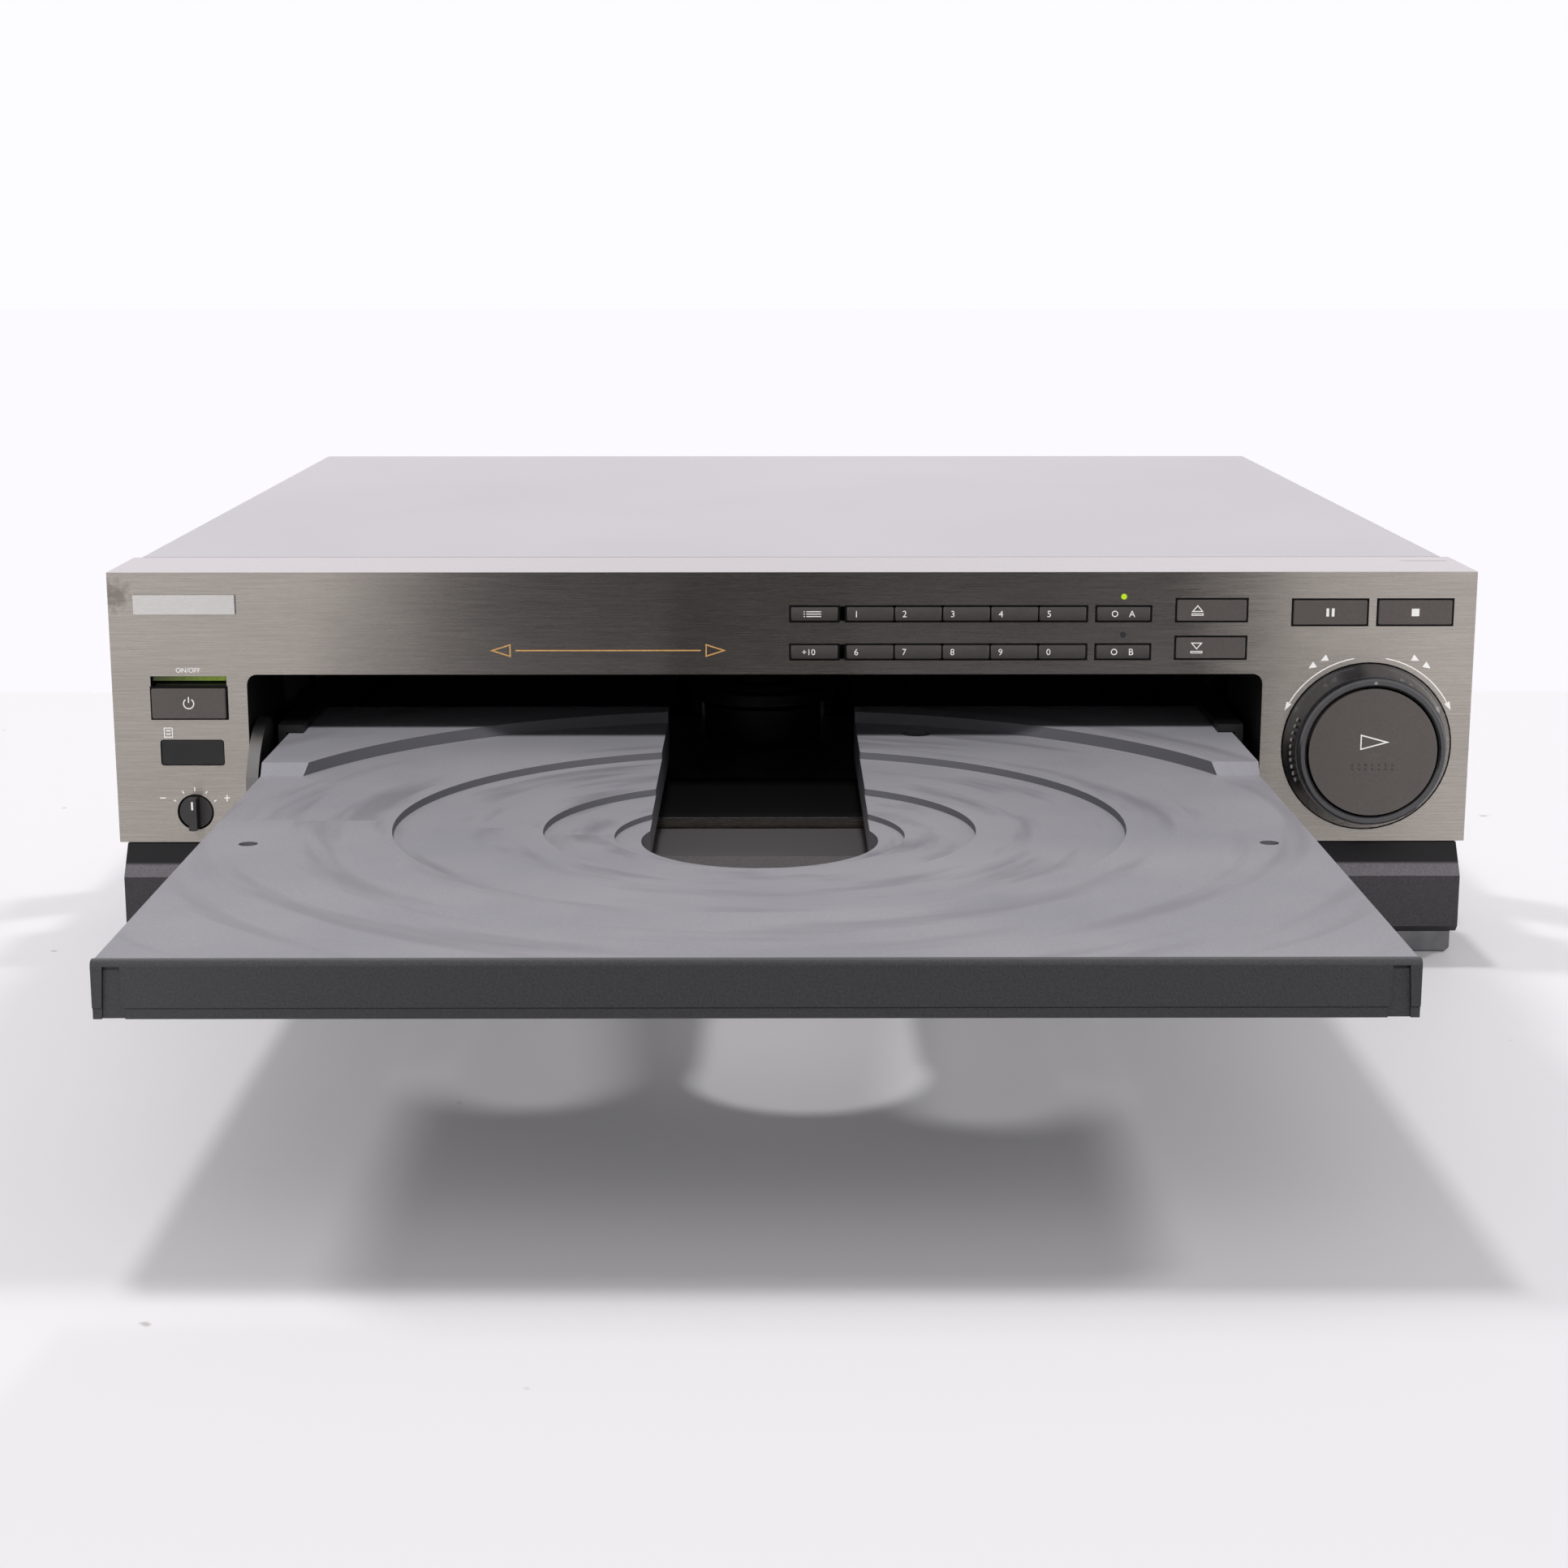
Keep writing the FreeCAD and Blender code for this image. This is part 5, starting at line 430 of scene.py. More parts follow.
for figure in range(10):
    print_key(letters(str(figure), 2.0 * mm), f"key_{figure}_figure", f"key_{figure}", -4.35)
print_key(letters("+10", 1.9 * mm), "plus_ten_figure", "plus_ten_key", -1.8)
drawing = bmesh.new()
for row in (-0.75, 0, 0.75):
    add_bar(drawing, -2.6, row, 0.4, 0.3)
    add_bar(drawing, 0.4, row, 4.6, 0.3)
print_key(drawing, "program_marking", "program_key", -0.6)
for side in ("a", "b"):
    print_key(letters(side.upper(), 2.0 * mm), f"side_{side}_letter", f"side_{side}_key", 2.6)
    drawing = bmesh.new()
    add_arc(drawing, 0.85, 0.3, 0, 360)
    bmesh.ops.remove_doubles(drawing, verts=drawing.verts, dist=1e-6)
    print_key(drawing, f"side_{side}_disc", f"side_{side}_key", -2.8)
for name, triangle in (
    ("open", ((-1.9, -0.5), (1.9, -0.5), (0, 1.7))), ("close", ((-1.9, 1.7), (0, -0.5), (1.9, 1.7))),
):
    drawing = bmesh.new()
    add_outline(drawing, triangle, 0.3)
    add_outline(drawing, ((-1.9, -1.7), (1.9, -1.7), (1.9, -0.95), (-1.9, -0.95)), 0.25)
    print_key(drawing, f"{name}_marking", f"{name}_key", -4.5)
drawing = bmesh.new()
for side in (-0.85, 0.85):
    add_bar(drawing, side, 0, 0.85, 2.6)
print_key(drawing, "pause_marking", "pause_key")
drawing = bmesh.new()
add_bar(drawing, 0, 0, 2.4, 2.4)
print_key(drawing, "stop_marking", "stop_key")
drawing = bmesh.new()
add_arc(drawing, 1.6, 0.35, 35, 325)
add_bar(drawing, 0, 1.2, 0.35, 1.9)
print_key(drawing, "power_symbol", "power_key")


# Play key: the same lacquered cap, round and slightly crowned, with a printed triangle and two
# rows of raised dots that a finger can find in the dark.
drawing = bmesh.new()
add_outline(drawing, ((-4.2, -2.5), (5.0, 0), (-4.2, 2.5)), 0.4)
print_on(drawing, "play_marking", ring_x, ring_z + 3.4 * mm, "play_key", "jog_key", ink)
dots = bmesh.new()
for column in range(7):
    for row in (-0.7, 0.7):
        dot_x, dot_z = ring_x + (column - 3) * 2.1 * mm, ring_z + (row - 4.4) * mm
        where, normal = front_of("play_key", dot_x, dot_z)
        bmesh.ops.create_uvsphere(dots, u_segments=12, v_segments=8, radius=0.4 * mm,
                                  matrix=Matrix.Translation((dot_x, where.y, dot_z)))
make_piece(dots, "play_key_dots", "jog_key", nodes["play_key"].data.materials[0], smooth=True)


# Power light: a bar of green acrylic that a lamp lights from its right-hand end, so it is
# brightest there. The two side lamps are small epoxy domes, and only the upper one is lit.
light_bar, tree, shader, place = new_finish(
    "lit_green_acrylic", Base_Color=linear("#1a2006"), Roughness=0.3, Emission_Color=linear("#a8c832"))
along = add(tree, "SeparateXYZ", {"Vector": place})
glow = add(tree, "MapRange", {"From Min": recess_low.x, "From Max": recess_high.x, "To Min": 0.02,
                              "To Max": 0.34, "Value": along.outputs["X"]})
haze = add(tree, "TexNoise", {"Scale": 700.0, "Detail": 2.0, "Vector": place})
haze_level = add(tree, "MapRange", {"From Min": 0.3, "From Max": 0.7, "To Min": 0.75, "To Max": 1.15,
                                    "Value": haze})
level = add(tree, "Math", {"operation": "MULTIPLY", 0: glow, 1: haze_level})
drive(shader, Emission_Strength=level)
finish(light_bar, "power_light_bar")

lamp_low, lamp_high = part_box("side_lamps")
domes, tree, shader, place = new_finish("green_epoxy_lamp", Roughness=0.25, Emission_Color=linear("#a4c41e"))
height = add(tree, "SeparateXYZ", {"Vector": place})
upper = add(tree, "Math", {"operation": "GREATER_THAN", 1: (lamp_low.z + lamp_high.z) / 2,
                           0: height.outputs["Z"]})
dome_tone = add(tree, "Mix", {"data_type": "RGBA", 6: "#2b2a2c", 7: "#87a01c", 0: upper})
lit = add(tree, "Math", {"operation": "MULTIPLY", 1: 0.6, 0: upper})
drive(shader, Base_Color=dome_tone.outputs[2], Emission_Strength=lit)
finish(domes, "side_lamps")


# Remote control window: a plate of smoked acrylic, nearly black, with a polished face that shows
# faint wipe marks. It is pressed into the panel from behind.
smoked = grained_finish("smoked_acrylic", (260.0, 3.0), "#0f0e0e", "#181716", shine=(0.08, 0.22),
                        Coat_Weight=0.1, Coat_Roughness=0.04, Specular_IOR_Level=0.35)
finish(smoked, "remote_window")


# Picture dial: a small knob turned from black ABS, with a grip bar across it that carries a
# painted line to point at the ticks.
knob_abs = grained_finish("dark_turned_knob_abs", (3000.0, 2.0), "#242322", "#302e2d", shine=(0.3, 0.46))
finish(knob_abs, "picture_dial")
drawing = bmesh.new()
add_bar(drawing, 0, 3.0, 0.6, 2.6)
print_on(drawing, "dial_pointer", dial_x, dial_z, "picture_dial", "dial_knob", ink)


# Shuttle ring: glossy black ABS with fine rings left by the turned tool, ten ribs on its left side
# for a finger, and a dimple at the top that shows its rest position.
ring_abs, tree, shader, place = new_finish("turned_black_abs", Coat_Weight=1.0, Coat_Roughness=0.1)
centred = add(tree, "Mapping", {"Location": (-ring_x, 0, -ring_z), "Vector": place})
flattened = add(tree, "VectorMath", {"operation": "MULTIPLY", 1: (1, 0, 1), 0: centred})
radius = add(tree, "VectorMath", {"operation": "LENGTH", 0: flattened})
# tool marks are about 0.1 mm apart; they are drawn 0.4 mm apart to show
turns = add(tree, "Math", {"operation": "MULTIPLY", 1: 2 * math.pi / (0.4 * mm), 0: radius.outputs["Value"]})
marks = add(tree, "Math", {"operation": "SINE", 0: turns})
relief = add(tree, "Bump", {"Strength": 0.05, "Distance": 0.02 * mm, "Height": marks})
wipe = add(tree, "TexNoise", {"Scale": 180.0, "Detail": 3.0, "Vector": place})
vary(tree, shader, wipe, "#1d1c1e", "#282729", shine=(0.2, 0.36))
drive(shader, Normal=relief)
finish(ring_abs, "shuttle_ring")
ribs = bmesh.new()
rib_radius = 24.9 * mm
for step in range(10):
    turn = math.radians(-90 - 22.5 + step * 5)
    rib_x, rib_z = ring_x + math.sin(turn) * rib_radius, ring_z + math.cos(turn) * rib_radius
    where, normal = front_of("shuttle_ring", rib_x, rib_z)
    stands = Matrix.Translation(where) @ Matrix.Rotation(turn - math.pi / 2, 4, "Y") @ Matrix.Rotation(
        math.atan2(-normal.y, math.hypot(normal.x, normal.z)) - math.pi / 2, 4, "Z")
    add_block(ribs, stands, (2.6, 0.6, 1.1), 0.15, 2)
# painted highlight: the ribs are coloured pale for the light on their glossy edges; the rest mark below takes
# the same pale colour
rib_highlight_and_mark_abs = grained_finish("pale_abs_rib_highlight_and_mark", (1200.0, 3.0), "#4c4a49", "#86827f", Roughness=0.3)
make_piece(ribs, "ring_ribs", "jog_ring", rib_highlight_and_mark_abs, smooth=True)
drawing = bmesh.new()
bmesh.ops.create_circle(drawing, cap_ends=True, segments=20, radius=0.55 * mm)
print_on(drawing, "ring_rest_mark", ring_x, ring_z + 22.1 * mm, "shuttle_ring", "jog_ring", rib_highlight_and_mark_abs)


# Flap: the door of the tray's mouth, moulded in black ABS, that folds down under the tray. Its arm
# is punched from steel sheet and blackened, and only the sheared edge shows bare metal.
flap_abs, tree, shader, place = new_finish("satin_black_abs")
grain = add(tree, "TexNoise", {"Scale": 2600.0, "Detail": 2.0, "Vector": place})
dust = add(tree, "TexNoise", {"Scale": 900.0, "Detail": 3.0, "Vector": place})
specks = add(tree, "MapRange", {"From Min": 0.74, "From Max": 0.8, "Value": dust})
grain_tone = add(tree, "ValToRGB", {"stops": ((0.3, "#4b4849"), (0.7, "#5b5859")), "Fac": grain})
dusted = add(tree, "Mix", {"data_type": "RGBA", 7: "#8f8d8c", 0: specks, 6: grain_tone})
grain_shine = add(tree, "MapRange", {"To Min": 0.36, "To Max": 0.5, "Value": grain})
relief = add(tree, "Bump", {"Strength": 0.25, "Distance": 0.03 * mm, "Height": grain})
drive(shader, Base_Color=dusted.outputs[2], Roughness=grain_shine, Normal=relief)
finish(flap_abs, "flap")

arm_steel, tree, shader, place = new_finish("blackened_steel_sheet")
facing = add(tree, "NewGeometry", {})
sides = add(tree, "SeparateXYZ", {"Vector": facing.outputs["Normal"]})
flat_side = add(tree, "Math", {"operation": "ABSOLUTE", 0: sides.outputs["X"]})
shear = add(tree, "MapRange", {"From Min": 0.75, "From Max": 0.45, "Value": flat_side})
scale_noise = add(tree, "TexNoise", {"Scale": 800.0, "Detail": 3.0, "Vector": place})
black_tone = add(tree, "ValToRGB", {"stops": ((0.3, "#1c1c1d"), (0.7, "#2a2a2b")), "Fac": scale_noise})
sheared = add(tree, "Mix", {"data_type": "RGBA", 7: "#8d8b89", 0: shear, 6: black_tone})
arm_shine = add(tree, "MapRange", {"To Min": 0.32, "To Max": 0.5, "Value": scale_noise})
drive(shader, Base_Color=sheared.outputs[2], Metallic=shear, Roughness=arm_shine)
finish(arm_steel, "flap_arm")


# Disc tray: one grey ABS moulding with a fine matt texture. Years of discs have polished it in
# long curved smears round the disc's centre.
tray_abs, tree, shader, place = new_finish("matt_grey_tray_abs")
disc_x, disc_y = -10.1 * mm, -187.35 * mm
centred = add(tree, "Mapping", {"Location": (-disc_x, -disc_y, 0), "Vector": place})
flattened = add(tree, "VectorMath", {"operation": "MULTIPLY", 1: (1, 1, 0), 0: centred})
radius = add(tree, "VectorMath", {"operation": "LENGTH", 0: flattened})
split = add(tree, "SeparateXYZ", {"Vector": centred})
turn = add(tree, "Math", {"operation": "ARCTAN2", 0: split.outputs["Y"], 1: split.outputs["X"]})
rolled = add(tree, "CombineXYZ", {"Z": 0.0, "X": radius.outputs["Value"], "Y": turn})
smear_place = add(tree, "Mapping", {"Scale": (75, 1.1, 1), "Vector": rolled})
smears = add(tree, "TexNoise", {"Scale": 1.0, "Detail": 3.0, "Roughness": 0.55, "Vector": smear_place})
smear = add(tree, "MapRange", {"From Min": 0.52, "From Max": 0.68, "Value": smears})
cloud = add(tree, "TexNoise", {"Scale": 16.0, "Detail": 3.0, "Vector": place})
# the matt texture's grains are about 0.1 mm; they are drawn 0.4 mm wide to show
grain = add(tree, "TexNoise", {"Scale": 2400.0, "Detail": 2.0, "Vector": place})
base_tone = add(tree, "ValToRGB", {"stops": ((0.3, "#8b8a90"), (0.7, "#98969b")), "Fac": cloud})
grain_level = add(tree, "MapRange", {"From Min": 0.25, "From Max": 0.75, "To Min": 0.9, "To Max": 1.1,
                                     "Value": grain})
grained = add(tree, "VectorMath", {"operation": "SCALE", 0: base_tone, "Scale": grain_level})
smear_share = add(tree, "Math", {"operation": "MULTIPLY", 1: 0.75, 0: smear})
smeared = add(tree, "Mix", {"data_type": "RGBA", 7: "#7b797f", 0: smear_share, 6: grained})
# painted shade: the steep walls between its levels are painted darker than the flats, for the light that they
# turn away from
facing = add(tree, "NewGeometry", {})
sides = add(tree, "SeparateXYZ", {"Vector": facing.outputs["Normal"]})
painted_wall_shade = add(tree, "MapRange", {"From Min": 0.75, "From Max": 0.3, "Value": sides.outputs["Z"]})
wall_shaded = add(tree, "Mix", {"data_type": "RGBA", 7: "#57565a", 0: painted_wall_shade, 6: smeared.outputs[2]})
matt = add(tree, "Math", {"operation": "MULTIPLY_ADD", 1: -0.1, 2: 0.52, 0: smear})
relief = add(tree, "Bump", {"Strength": 0.3, "Distance": 0.03 * mm, "Height": grain})
drive(shader, Base_Color=wall_shaded.outputs[2], Roughness=matt, Normal=relief)
finish(tray_abs, "tray")


# Tray front: the strip that closes the mouth when the tray is in, moulded in a darker grey ABS
# with a coarser leather-like texture.
trim_abs, tree, shader, place = new_finish("grained_dark_grey_abs", Roughness=0.5)
pebbles = add(tree, "TexVoronoi", {"Scale": 1500.0, "Randomness": 1.0, "Vector": place})
grain = add(tree, "TexNoise", {"Scale": 1800.0, "Detail": 2.0, "Vector": place})
vary(tree, shader, grain, "#2a2a2c", "#363638")
relief = add(tree, "Bump", {"Strength": 0.35, "Distance": 0.05 * mm, "Height": pebbles})
drive(shader, Normal=relief)
finish(trim_abs, "tray_front")


# Loading drive: the rack under the tray, the pinion with its belt pulley and the motor's pulley are
# white nylon, slightly translucent and yellowed; a black rubber belt joins the pulleys.
white_nylon = grained_finish("white_moulded_nylon", (90.0, 3.0), "#c9c4b2", "#dad7cb",
                             relief=(1500.0, 0.15, 0.03), Roughness=0.42, Subsurface_Weight=0.15,
                             Subsurface_Radius=(0.002, 0.0015, 0.001))
finish(white_nylon, "tray_rack", "tray_pinion", "motor_pulley")

rubber = grained_finish("black_moulded_rubber", (220.0, 4.0), "#131313", "#252423", spread=(0.35, 0.7),
                        shine=(0.6, 0.85), relief=(2500.0, 0.3, 0.04))
finish(rubber, "drive_belt", "rubber_dampers")


# Feet: large blocks of grey-black rubber-filled plastic, scuffed by the shelf and pressed into
# holes in the base.
foot_rubber = grained_finish("grey_black_foot_rubber", (160.0, 4.0), "#4b4a4c", "#5a595b", spread=(0.35, 0.7),
                             shine=(0.55, 0.8), relief=(2000.0, 0.3, 0.04))
finish(foot_rubber, "feet")


# Steelwork of the mechanism: the mechanism's plate, the clamp's arm, the pickup's rods, the flap's
# pins and the loading motor's can are bright zinc-plated or ground steel.
zinc, tree, shader, place = new_finish("zinc_plated_steel", Metallic=1.0)
# the plating's crystals are 2 to 4 mm patches that mirror slightly differently
spangle = add(tree, "TexVoronoi", {"Scale": 320.0, "Vector": place})
rolling_place = add(tree, "Mapping", {"Scale": (60, 900, 900), "Vector": place})
rolling = add(tree, "TexNoise", {"Scale": 1.0, "Detail": 3.0, "Vector": rolling_place})
mixed = add(tree, "Math", {"operation": "MULTIPLY_ADD", 1: 0.35, 0: rolling, 2: spangle})
vary(tree, shader, mixed, "#8f8f8d", "#b3b2ae", spread=(0.2, 0.9), shine=(0.26, 0.44))
finish(zinc, "mechanism_plate", "clamp_arm", "pickup_rods", "flap_hinge_pins", "loading_motor")


# Turntable, disc clamp and pickup: moulded in black acetal and glass-filled nylon, smooth and
# slightly waxy, with faint flow marks.
acetal = grained_finish("black_acetal", (400.0, 3.0), "#1b1b1d", "#28282a", shine=(0.28, 0.48))
finish(acetal, "turntable", "disc_clamp", "pickup_sled")


# Circuit boards: green solder mask over glass-fibre sheet, with the parts on them moulded in black
# epoxy or sleeved in dark film, told apart by their height over the boards.
board_mask, tree, shader, place = new_finish("green_solder_mask")
tracks = add(tree, "TexBrick", {"Scale": 1.0, "Mortar Size": 0.0006, "Brick Width": 0.011,
                                "Row Height": 0.0023, "Color1": "#1f4a2c", "Color2": "#24542f",
                                "Mortar": "#3f6b34", "Vector": place})
weave = add(tree, "TexNoise", {"Scale": 500.0, "Detail": 3.0, "Vector": place})
weave_level = add(tree, "MapRange", {"From Min": 0.3, "From Max": 0.7, "To Min": 0.85, "To Max": 1.1,
                                     "Value": weave})
board_tone = add(tree, "VectorMath", {"operation": "SCALE", 0: tracks, "Scale": weave_level})
board_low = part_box("main_board")[0]
height = add(tree, "SeparateXYZ", {"Vector": place})
depth = add(tree, "Math", {"operation": "GREATER_THAN", 1: board_low.z + 1.7 * mm, 0: height.outputs["Z"]})
inside = add(tree, "Math", {"operation": "GREATER_THAN", 1: 0.0, 0: height.outputs["Y"]})
parts_share = add(tree, "Math", {"operation": "MULTIPLY", 0: depth, 1: inside})
populated = add(tree, "Mix", {"data_type": "RGBA", 7: "#1d1d22", 0: parts_share, 6: board_tone})
gloss = add(tree, "MapRange", {"To Min": 0.25, "To Max": 0.42, "Value": weave})
drive(shader, Base_Color=populated.outputs[2], Roughness=gloss)
finish(board_mask, "control_boards", "main_board", "power_supply_board")


# Transformer: a stack of steel laminations round a taped coil, dipped in brown varnish and
# bolted to the base.
core, tree, shader, place = new_finish("varnished_laminated_steel", Metallic=0.7)
layers = add(tree, "TexWave", {"bands_direction": "X", "Scale": 320.0, "Distortion": 0.6, "Vector": place})
vary(tree, shader, layers.outputs["Fac"], "#3b3733", "#6a645c", spread=(0.2, 0.8), shine=(0.35, 0.6),
     relief=(0.4, 0.1))
finish(core, "transformer")


# Base: a pan moulded in charcoal polystyrene with a coarse texture, its slopes painted paler as painted light
# and its rim under the front panel painted darker as painted shadow.
base_plastic, tree, shader, place = new_finish("charcoal_textured_polystyrene", Specular_IOR_Level=0.3)
grain = add(tree, "TexNoise", {"Scale": 1500.0, "Detail": 2.0, "Vector": place})
patches = add(tree, "TexNoise", {"Scale": 22.0, "Detail": 3.0, "Vector": place})
blend = add(tree, "Math", {"operation": "MULTIPLY_ADD", 1: 0.4, 0: patches, 2: grain})
base_tone = add(tree, "ValToRGB", {"stops": ((0.5, "#413f42"), (0.9, "#504d50")), "Fac": blend})
# painted light: the slopes are painted paler than the upright sides, for the light that they catch from above
facing = add(tree, "NewGeometry", {})
sides = add(tree, "SeparateXYZ", {"Vector": facing.outputs["Normal"]})
painted_slope_light = add(tree, "MapRange", {"From Min": 0.1, "From Max": 0.5, "To Min": 0.5, "To Max": 1.45,
                                "Value": sides.outputs["Z"]})
# painted shadow: the rim under the front panel is painted darker, where the panel's shadow falls on it
height = add(tree, "SeparateXYZ", {"Vector": place})
painted_rim_shadow = add(tree, "MapRange", {"From Min": panel_low.z - 6.6 * mm, "From Max": panel_low.z - 5.8 * mm,
                             "To Min": 1.0, "To Max": 0.08, "Value": height.outputs["Z"]})
level = add(tree, "Math", {"operation": "MULTIPLY", 0: painted_slope_light, 1: painted_rim_shadow})
shaded = add(tree, "VectorMath", {"operation": "SCALE", 0: base_tone, "Scale": level})
base_shine = add(tree, "MapRange", {"To Min": 0.42, "To Max": 0.6, "Value": grain})
relief = add(tree, "Bump", {"Strength": 0.35, "Distance": 0.05 * mm, "Height": grain})
drive(shader, Base_Color=shaded, Roughness=base_shine, Normal=relief)
finish(base_plastic, "base_pan")


# Cover: steel sheet folded over the top and sides, sprayed in a silver-grey lacquer with a slight
# orange peel. It carries faint wipe marks and some dark scratches near its right front corner.
cover_lacquer, tree, shader, place = new_finish("silver_grey_baked_lacquer", Metallic=0.0)
cover_low, cover_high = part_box("top_cover")
wipes_place = add(tree, "Mapping", {"Scale": (7, 4, 7), "Vector": place})
wipes = add(tree, "TexNoise", {"Scale": 1.0, "Detail": 3.0, "Distortion": 0.6, "Vector": wipes_place})
cover_tone = add(tree, "ValToRGB", {"stops": ((0.3, "#bab5bb"), (0.7, "#c6c1c7")), "Fac": wipes})
spot = add(tree, "VectorMath", {"operation": "DISTANCE",
                                1: (cover_high.x - 55 * mm, cover_low.y + 10 * mm, cover_high.z), 0: place})
near = add(tree, "MapRange", {"From Min": 75 * mm, "From Max": 20 * mm, "Value": spot.outputs["Value"]})
scratch_place = add(tree, "Mapping", {"Scale": (120, 520, 100), "Rotation": (0, 0, 0.25), "Vector": place})
scratch_noise = add(tree, "TexNoise", {"Scale": 1.0, "Detail": 5.0, "Roughness": 0.7,
                                       "Vector": scratch_place})
scratch = add(tree, "MapRange", {"From Min": 0.66, "From Max": 0.7, "Value": scratch_noise})
scratch_share = add(tree, "Math", {"operation": "MULTIPLY", 0: scratch, 1: near})
scratched = add(tree, "Mix", {"data_type": "RGBA", 7: "#4a4546", 0: scratch_share, 6: cover_tone})
cover_shine = add(tree, "MapRange", {"To Min": 0.3, "To Max": 0.42, "Value": wipes})
# orange peel is a ripple about 1.2 mm across
peel = add(tree, "TexNoise", {"Scale": 800.0, "Detail": 1.0, "Vector": place})
relief = add(tree, "Bump", {"Strength": 0.1, "Distance": 0.02 * mm, "Height": peel})
drive(shader, Base_Color=scratched.outputs[2], Roughness=cover_shine, Normal=relief)
finish(cover_lacquer, "top_cover")


# Cover seals: strips of black foam tape laid on the base's rim, that the cover's sides close
# against.
foam, tree, shader, place = new_finish("black_foam_tape", Roughness=0.95)
cells = add(tree, "TexVoronoi", {"Scale": 1400.0, "Vector": place})
vary(tree, shader, cells, "#0d0d0d", "#1c1c1c", spread=(0.1, 0.6), relief=(0.6, 0.2))
strips = bmesh.new()
for side in (-1, 1):
    add_block(strips, Matrix.Translation((side * 211.9 * mm, 130 * mm, 27.1 * mm)), (1.9, 380, 3), 0.4, 3)
make_piece(strips, "cover_seals", "player_body", foam, smooth=True)


# Rear panel and the cover's screws: steel with a wrinkled black paint on the panel, and a black
# oxide on the screws.
black_paint, tree, shader, place = new_finish("black_wrinkle_painted_steel")
wrinkle = add(tree, "TexVoronoi", {"Scale": 1100.0, "feature": "SMOOTH_F1", "Vector": place})
wear = add(tree, "TexNoise", {"Scale": 40.0, "Detail": 4.0, "Vector": place})
vary(tree, shader, wear, "#1c1c1d", "#28282a", spread=(0.35, 0.7), shine=(0.42, 0.6))
relief = add(tree, "Bump", {"Strength": 0.35, "Distance": 0.06 * mm, "Height": wrinkle})
drive(shader, Normal=relief)
finish(black_paint, "rear_panel")

# the side screws' cross recesses lie below their heads, 260 mm apart along the cover; each is painted shade,
# a near black cross on the flat head
screw_low, screw_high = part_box("cover_screws")
head_radius, slot_turn = 3.4 * mm, 0.4
oxide_and_recess_shade, tree, shader, place = new_finish("black_oxide_screw_steel_painted_recess", Metallic=0.5, Roughness=0.45)
bloom = add(tree, "TexNoise", {"Scale": 900.0, "Detail": 4.0, "Vector": place})
oxide_tone = add(tree, "ValToRGB", {"stops": ((0.35, "#242425"), (0.7, "#323234")), "Fac": bloom})
along = add(tree, "SeparateXYZ", {"Vector": place})
from_first = add(tree, "Math", {"operation": "SUBTRACT", 1: screw_low.y + head_radius, 0: along.outputs["Y"]})
from_centre = add(tree, "Math", {"operation": "WRAP", 1: 130 * mm, 2: -130 * mm, 0: from_first})
above_centre = add(tree, "Math", {"operation": "SUBTRACT", 1: screw_low.z + head_radius,
                                  0: along.outputs["Z"]})
face_place = add(tree, "CombineXYZ", {"X": from_centre, "Y": above_centre})
turned = add(tree, "VectorRotate", {"rotation_type": "Z_AXIS", "Angle": slot_turn, "Vector": face_place})
arms = add(tree, "SeparateXYZ", {"Vector": turned})
first_arm = add(tree, "Math", {"operation": "ABSOLUTE", 0: arms.outputs["X"]})
second_arm = add(tree, "Math", {"operation": "ABSOLUTE", 0: arms.outputs["Y"]})
across = add(tree, "Math", {"operation": "MINIMUM", 0: first_arm, 1: second_arm})
reach = add(tree, "Math", {"operation": "MAXIMUM", 0: first_arm, 1: second_arm})
in_width = add(tree, "Math", {"operation": "LESS_THAN", 1: 0.35 * mm, 0: across})
in_length = add(tree, "Math", {"operation": "LESS_THAN", 1: 1.8 * mm, 0: reach})
painted_recess_shade = add(tree, "Math", {"operation": "MULTIPLY", 0: in_width, 1: in_length})
screw_tone = add(tree, "Mix", {"data_type": "RGBA", 7: "#0a0a0a", 0: painted_recess_shade, 6: oxide_tone})
drive(shader, Base_Color=screw_tone.outputs[2])
finish(oxide_and_recess_shade, "cover_screws")


# Sockets on the rear: black moulded blocks that hold the phono jacks, the video socket and the
# shell of the mains inlet, each screwed or clipped to the panel.
socket_abs = grained_finish("black_socket_moulding", (2200.0, 2.0), "#19191a", "#242425", shine=(0.35, 0.5))
finish(socket_abs, "phono_jacks", "video_socket", "mains_inlet")


# Jack sleeves and washers: nickel-plated brass sleeves crimped on the phono barrels, each over a
# coloured fibre washer that tells picture, left and right apart; the screws have crossed slots.
def make_rings(name, places, profile, material):
    """Makes rings about axes from front to rear, from one closed profile of radius and y in millimetres."""
    rings = bmesh.new()
    for x, z in places:
        loop = [rings.verts.new(((x + radius) * mm, y * mm, z * mm)) for radius, y in profile]
        edges = [rings.edges.new((loop[i - 1], loop[i])) for i in range(len(loop))]
        bmesh.ops.spin(rings, geom=[*loop, *edges], cent=(x * mm, 0, z * mm), axis=(0, 1, 0),
                       angle=2 * math.pi, steps=40, use_merge=True)
    bmesh.ops.remove_doubles(rings, verts=rings.verts, dist=1e-6)
    bmesh.ops.recalc_face_normals(rings, faces=rings.faces)
    make_piece(rings, name, "player_body", material, smooth=True)


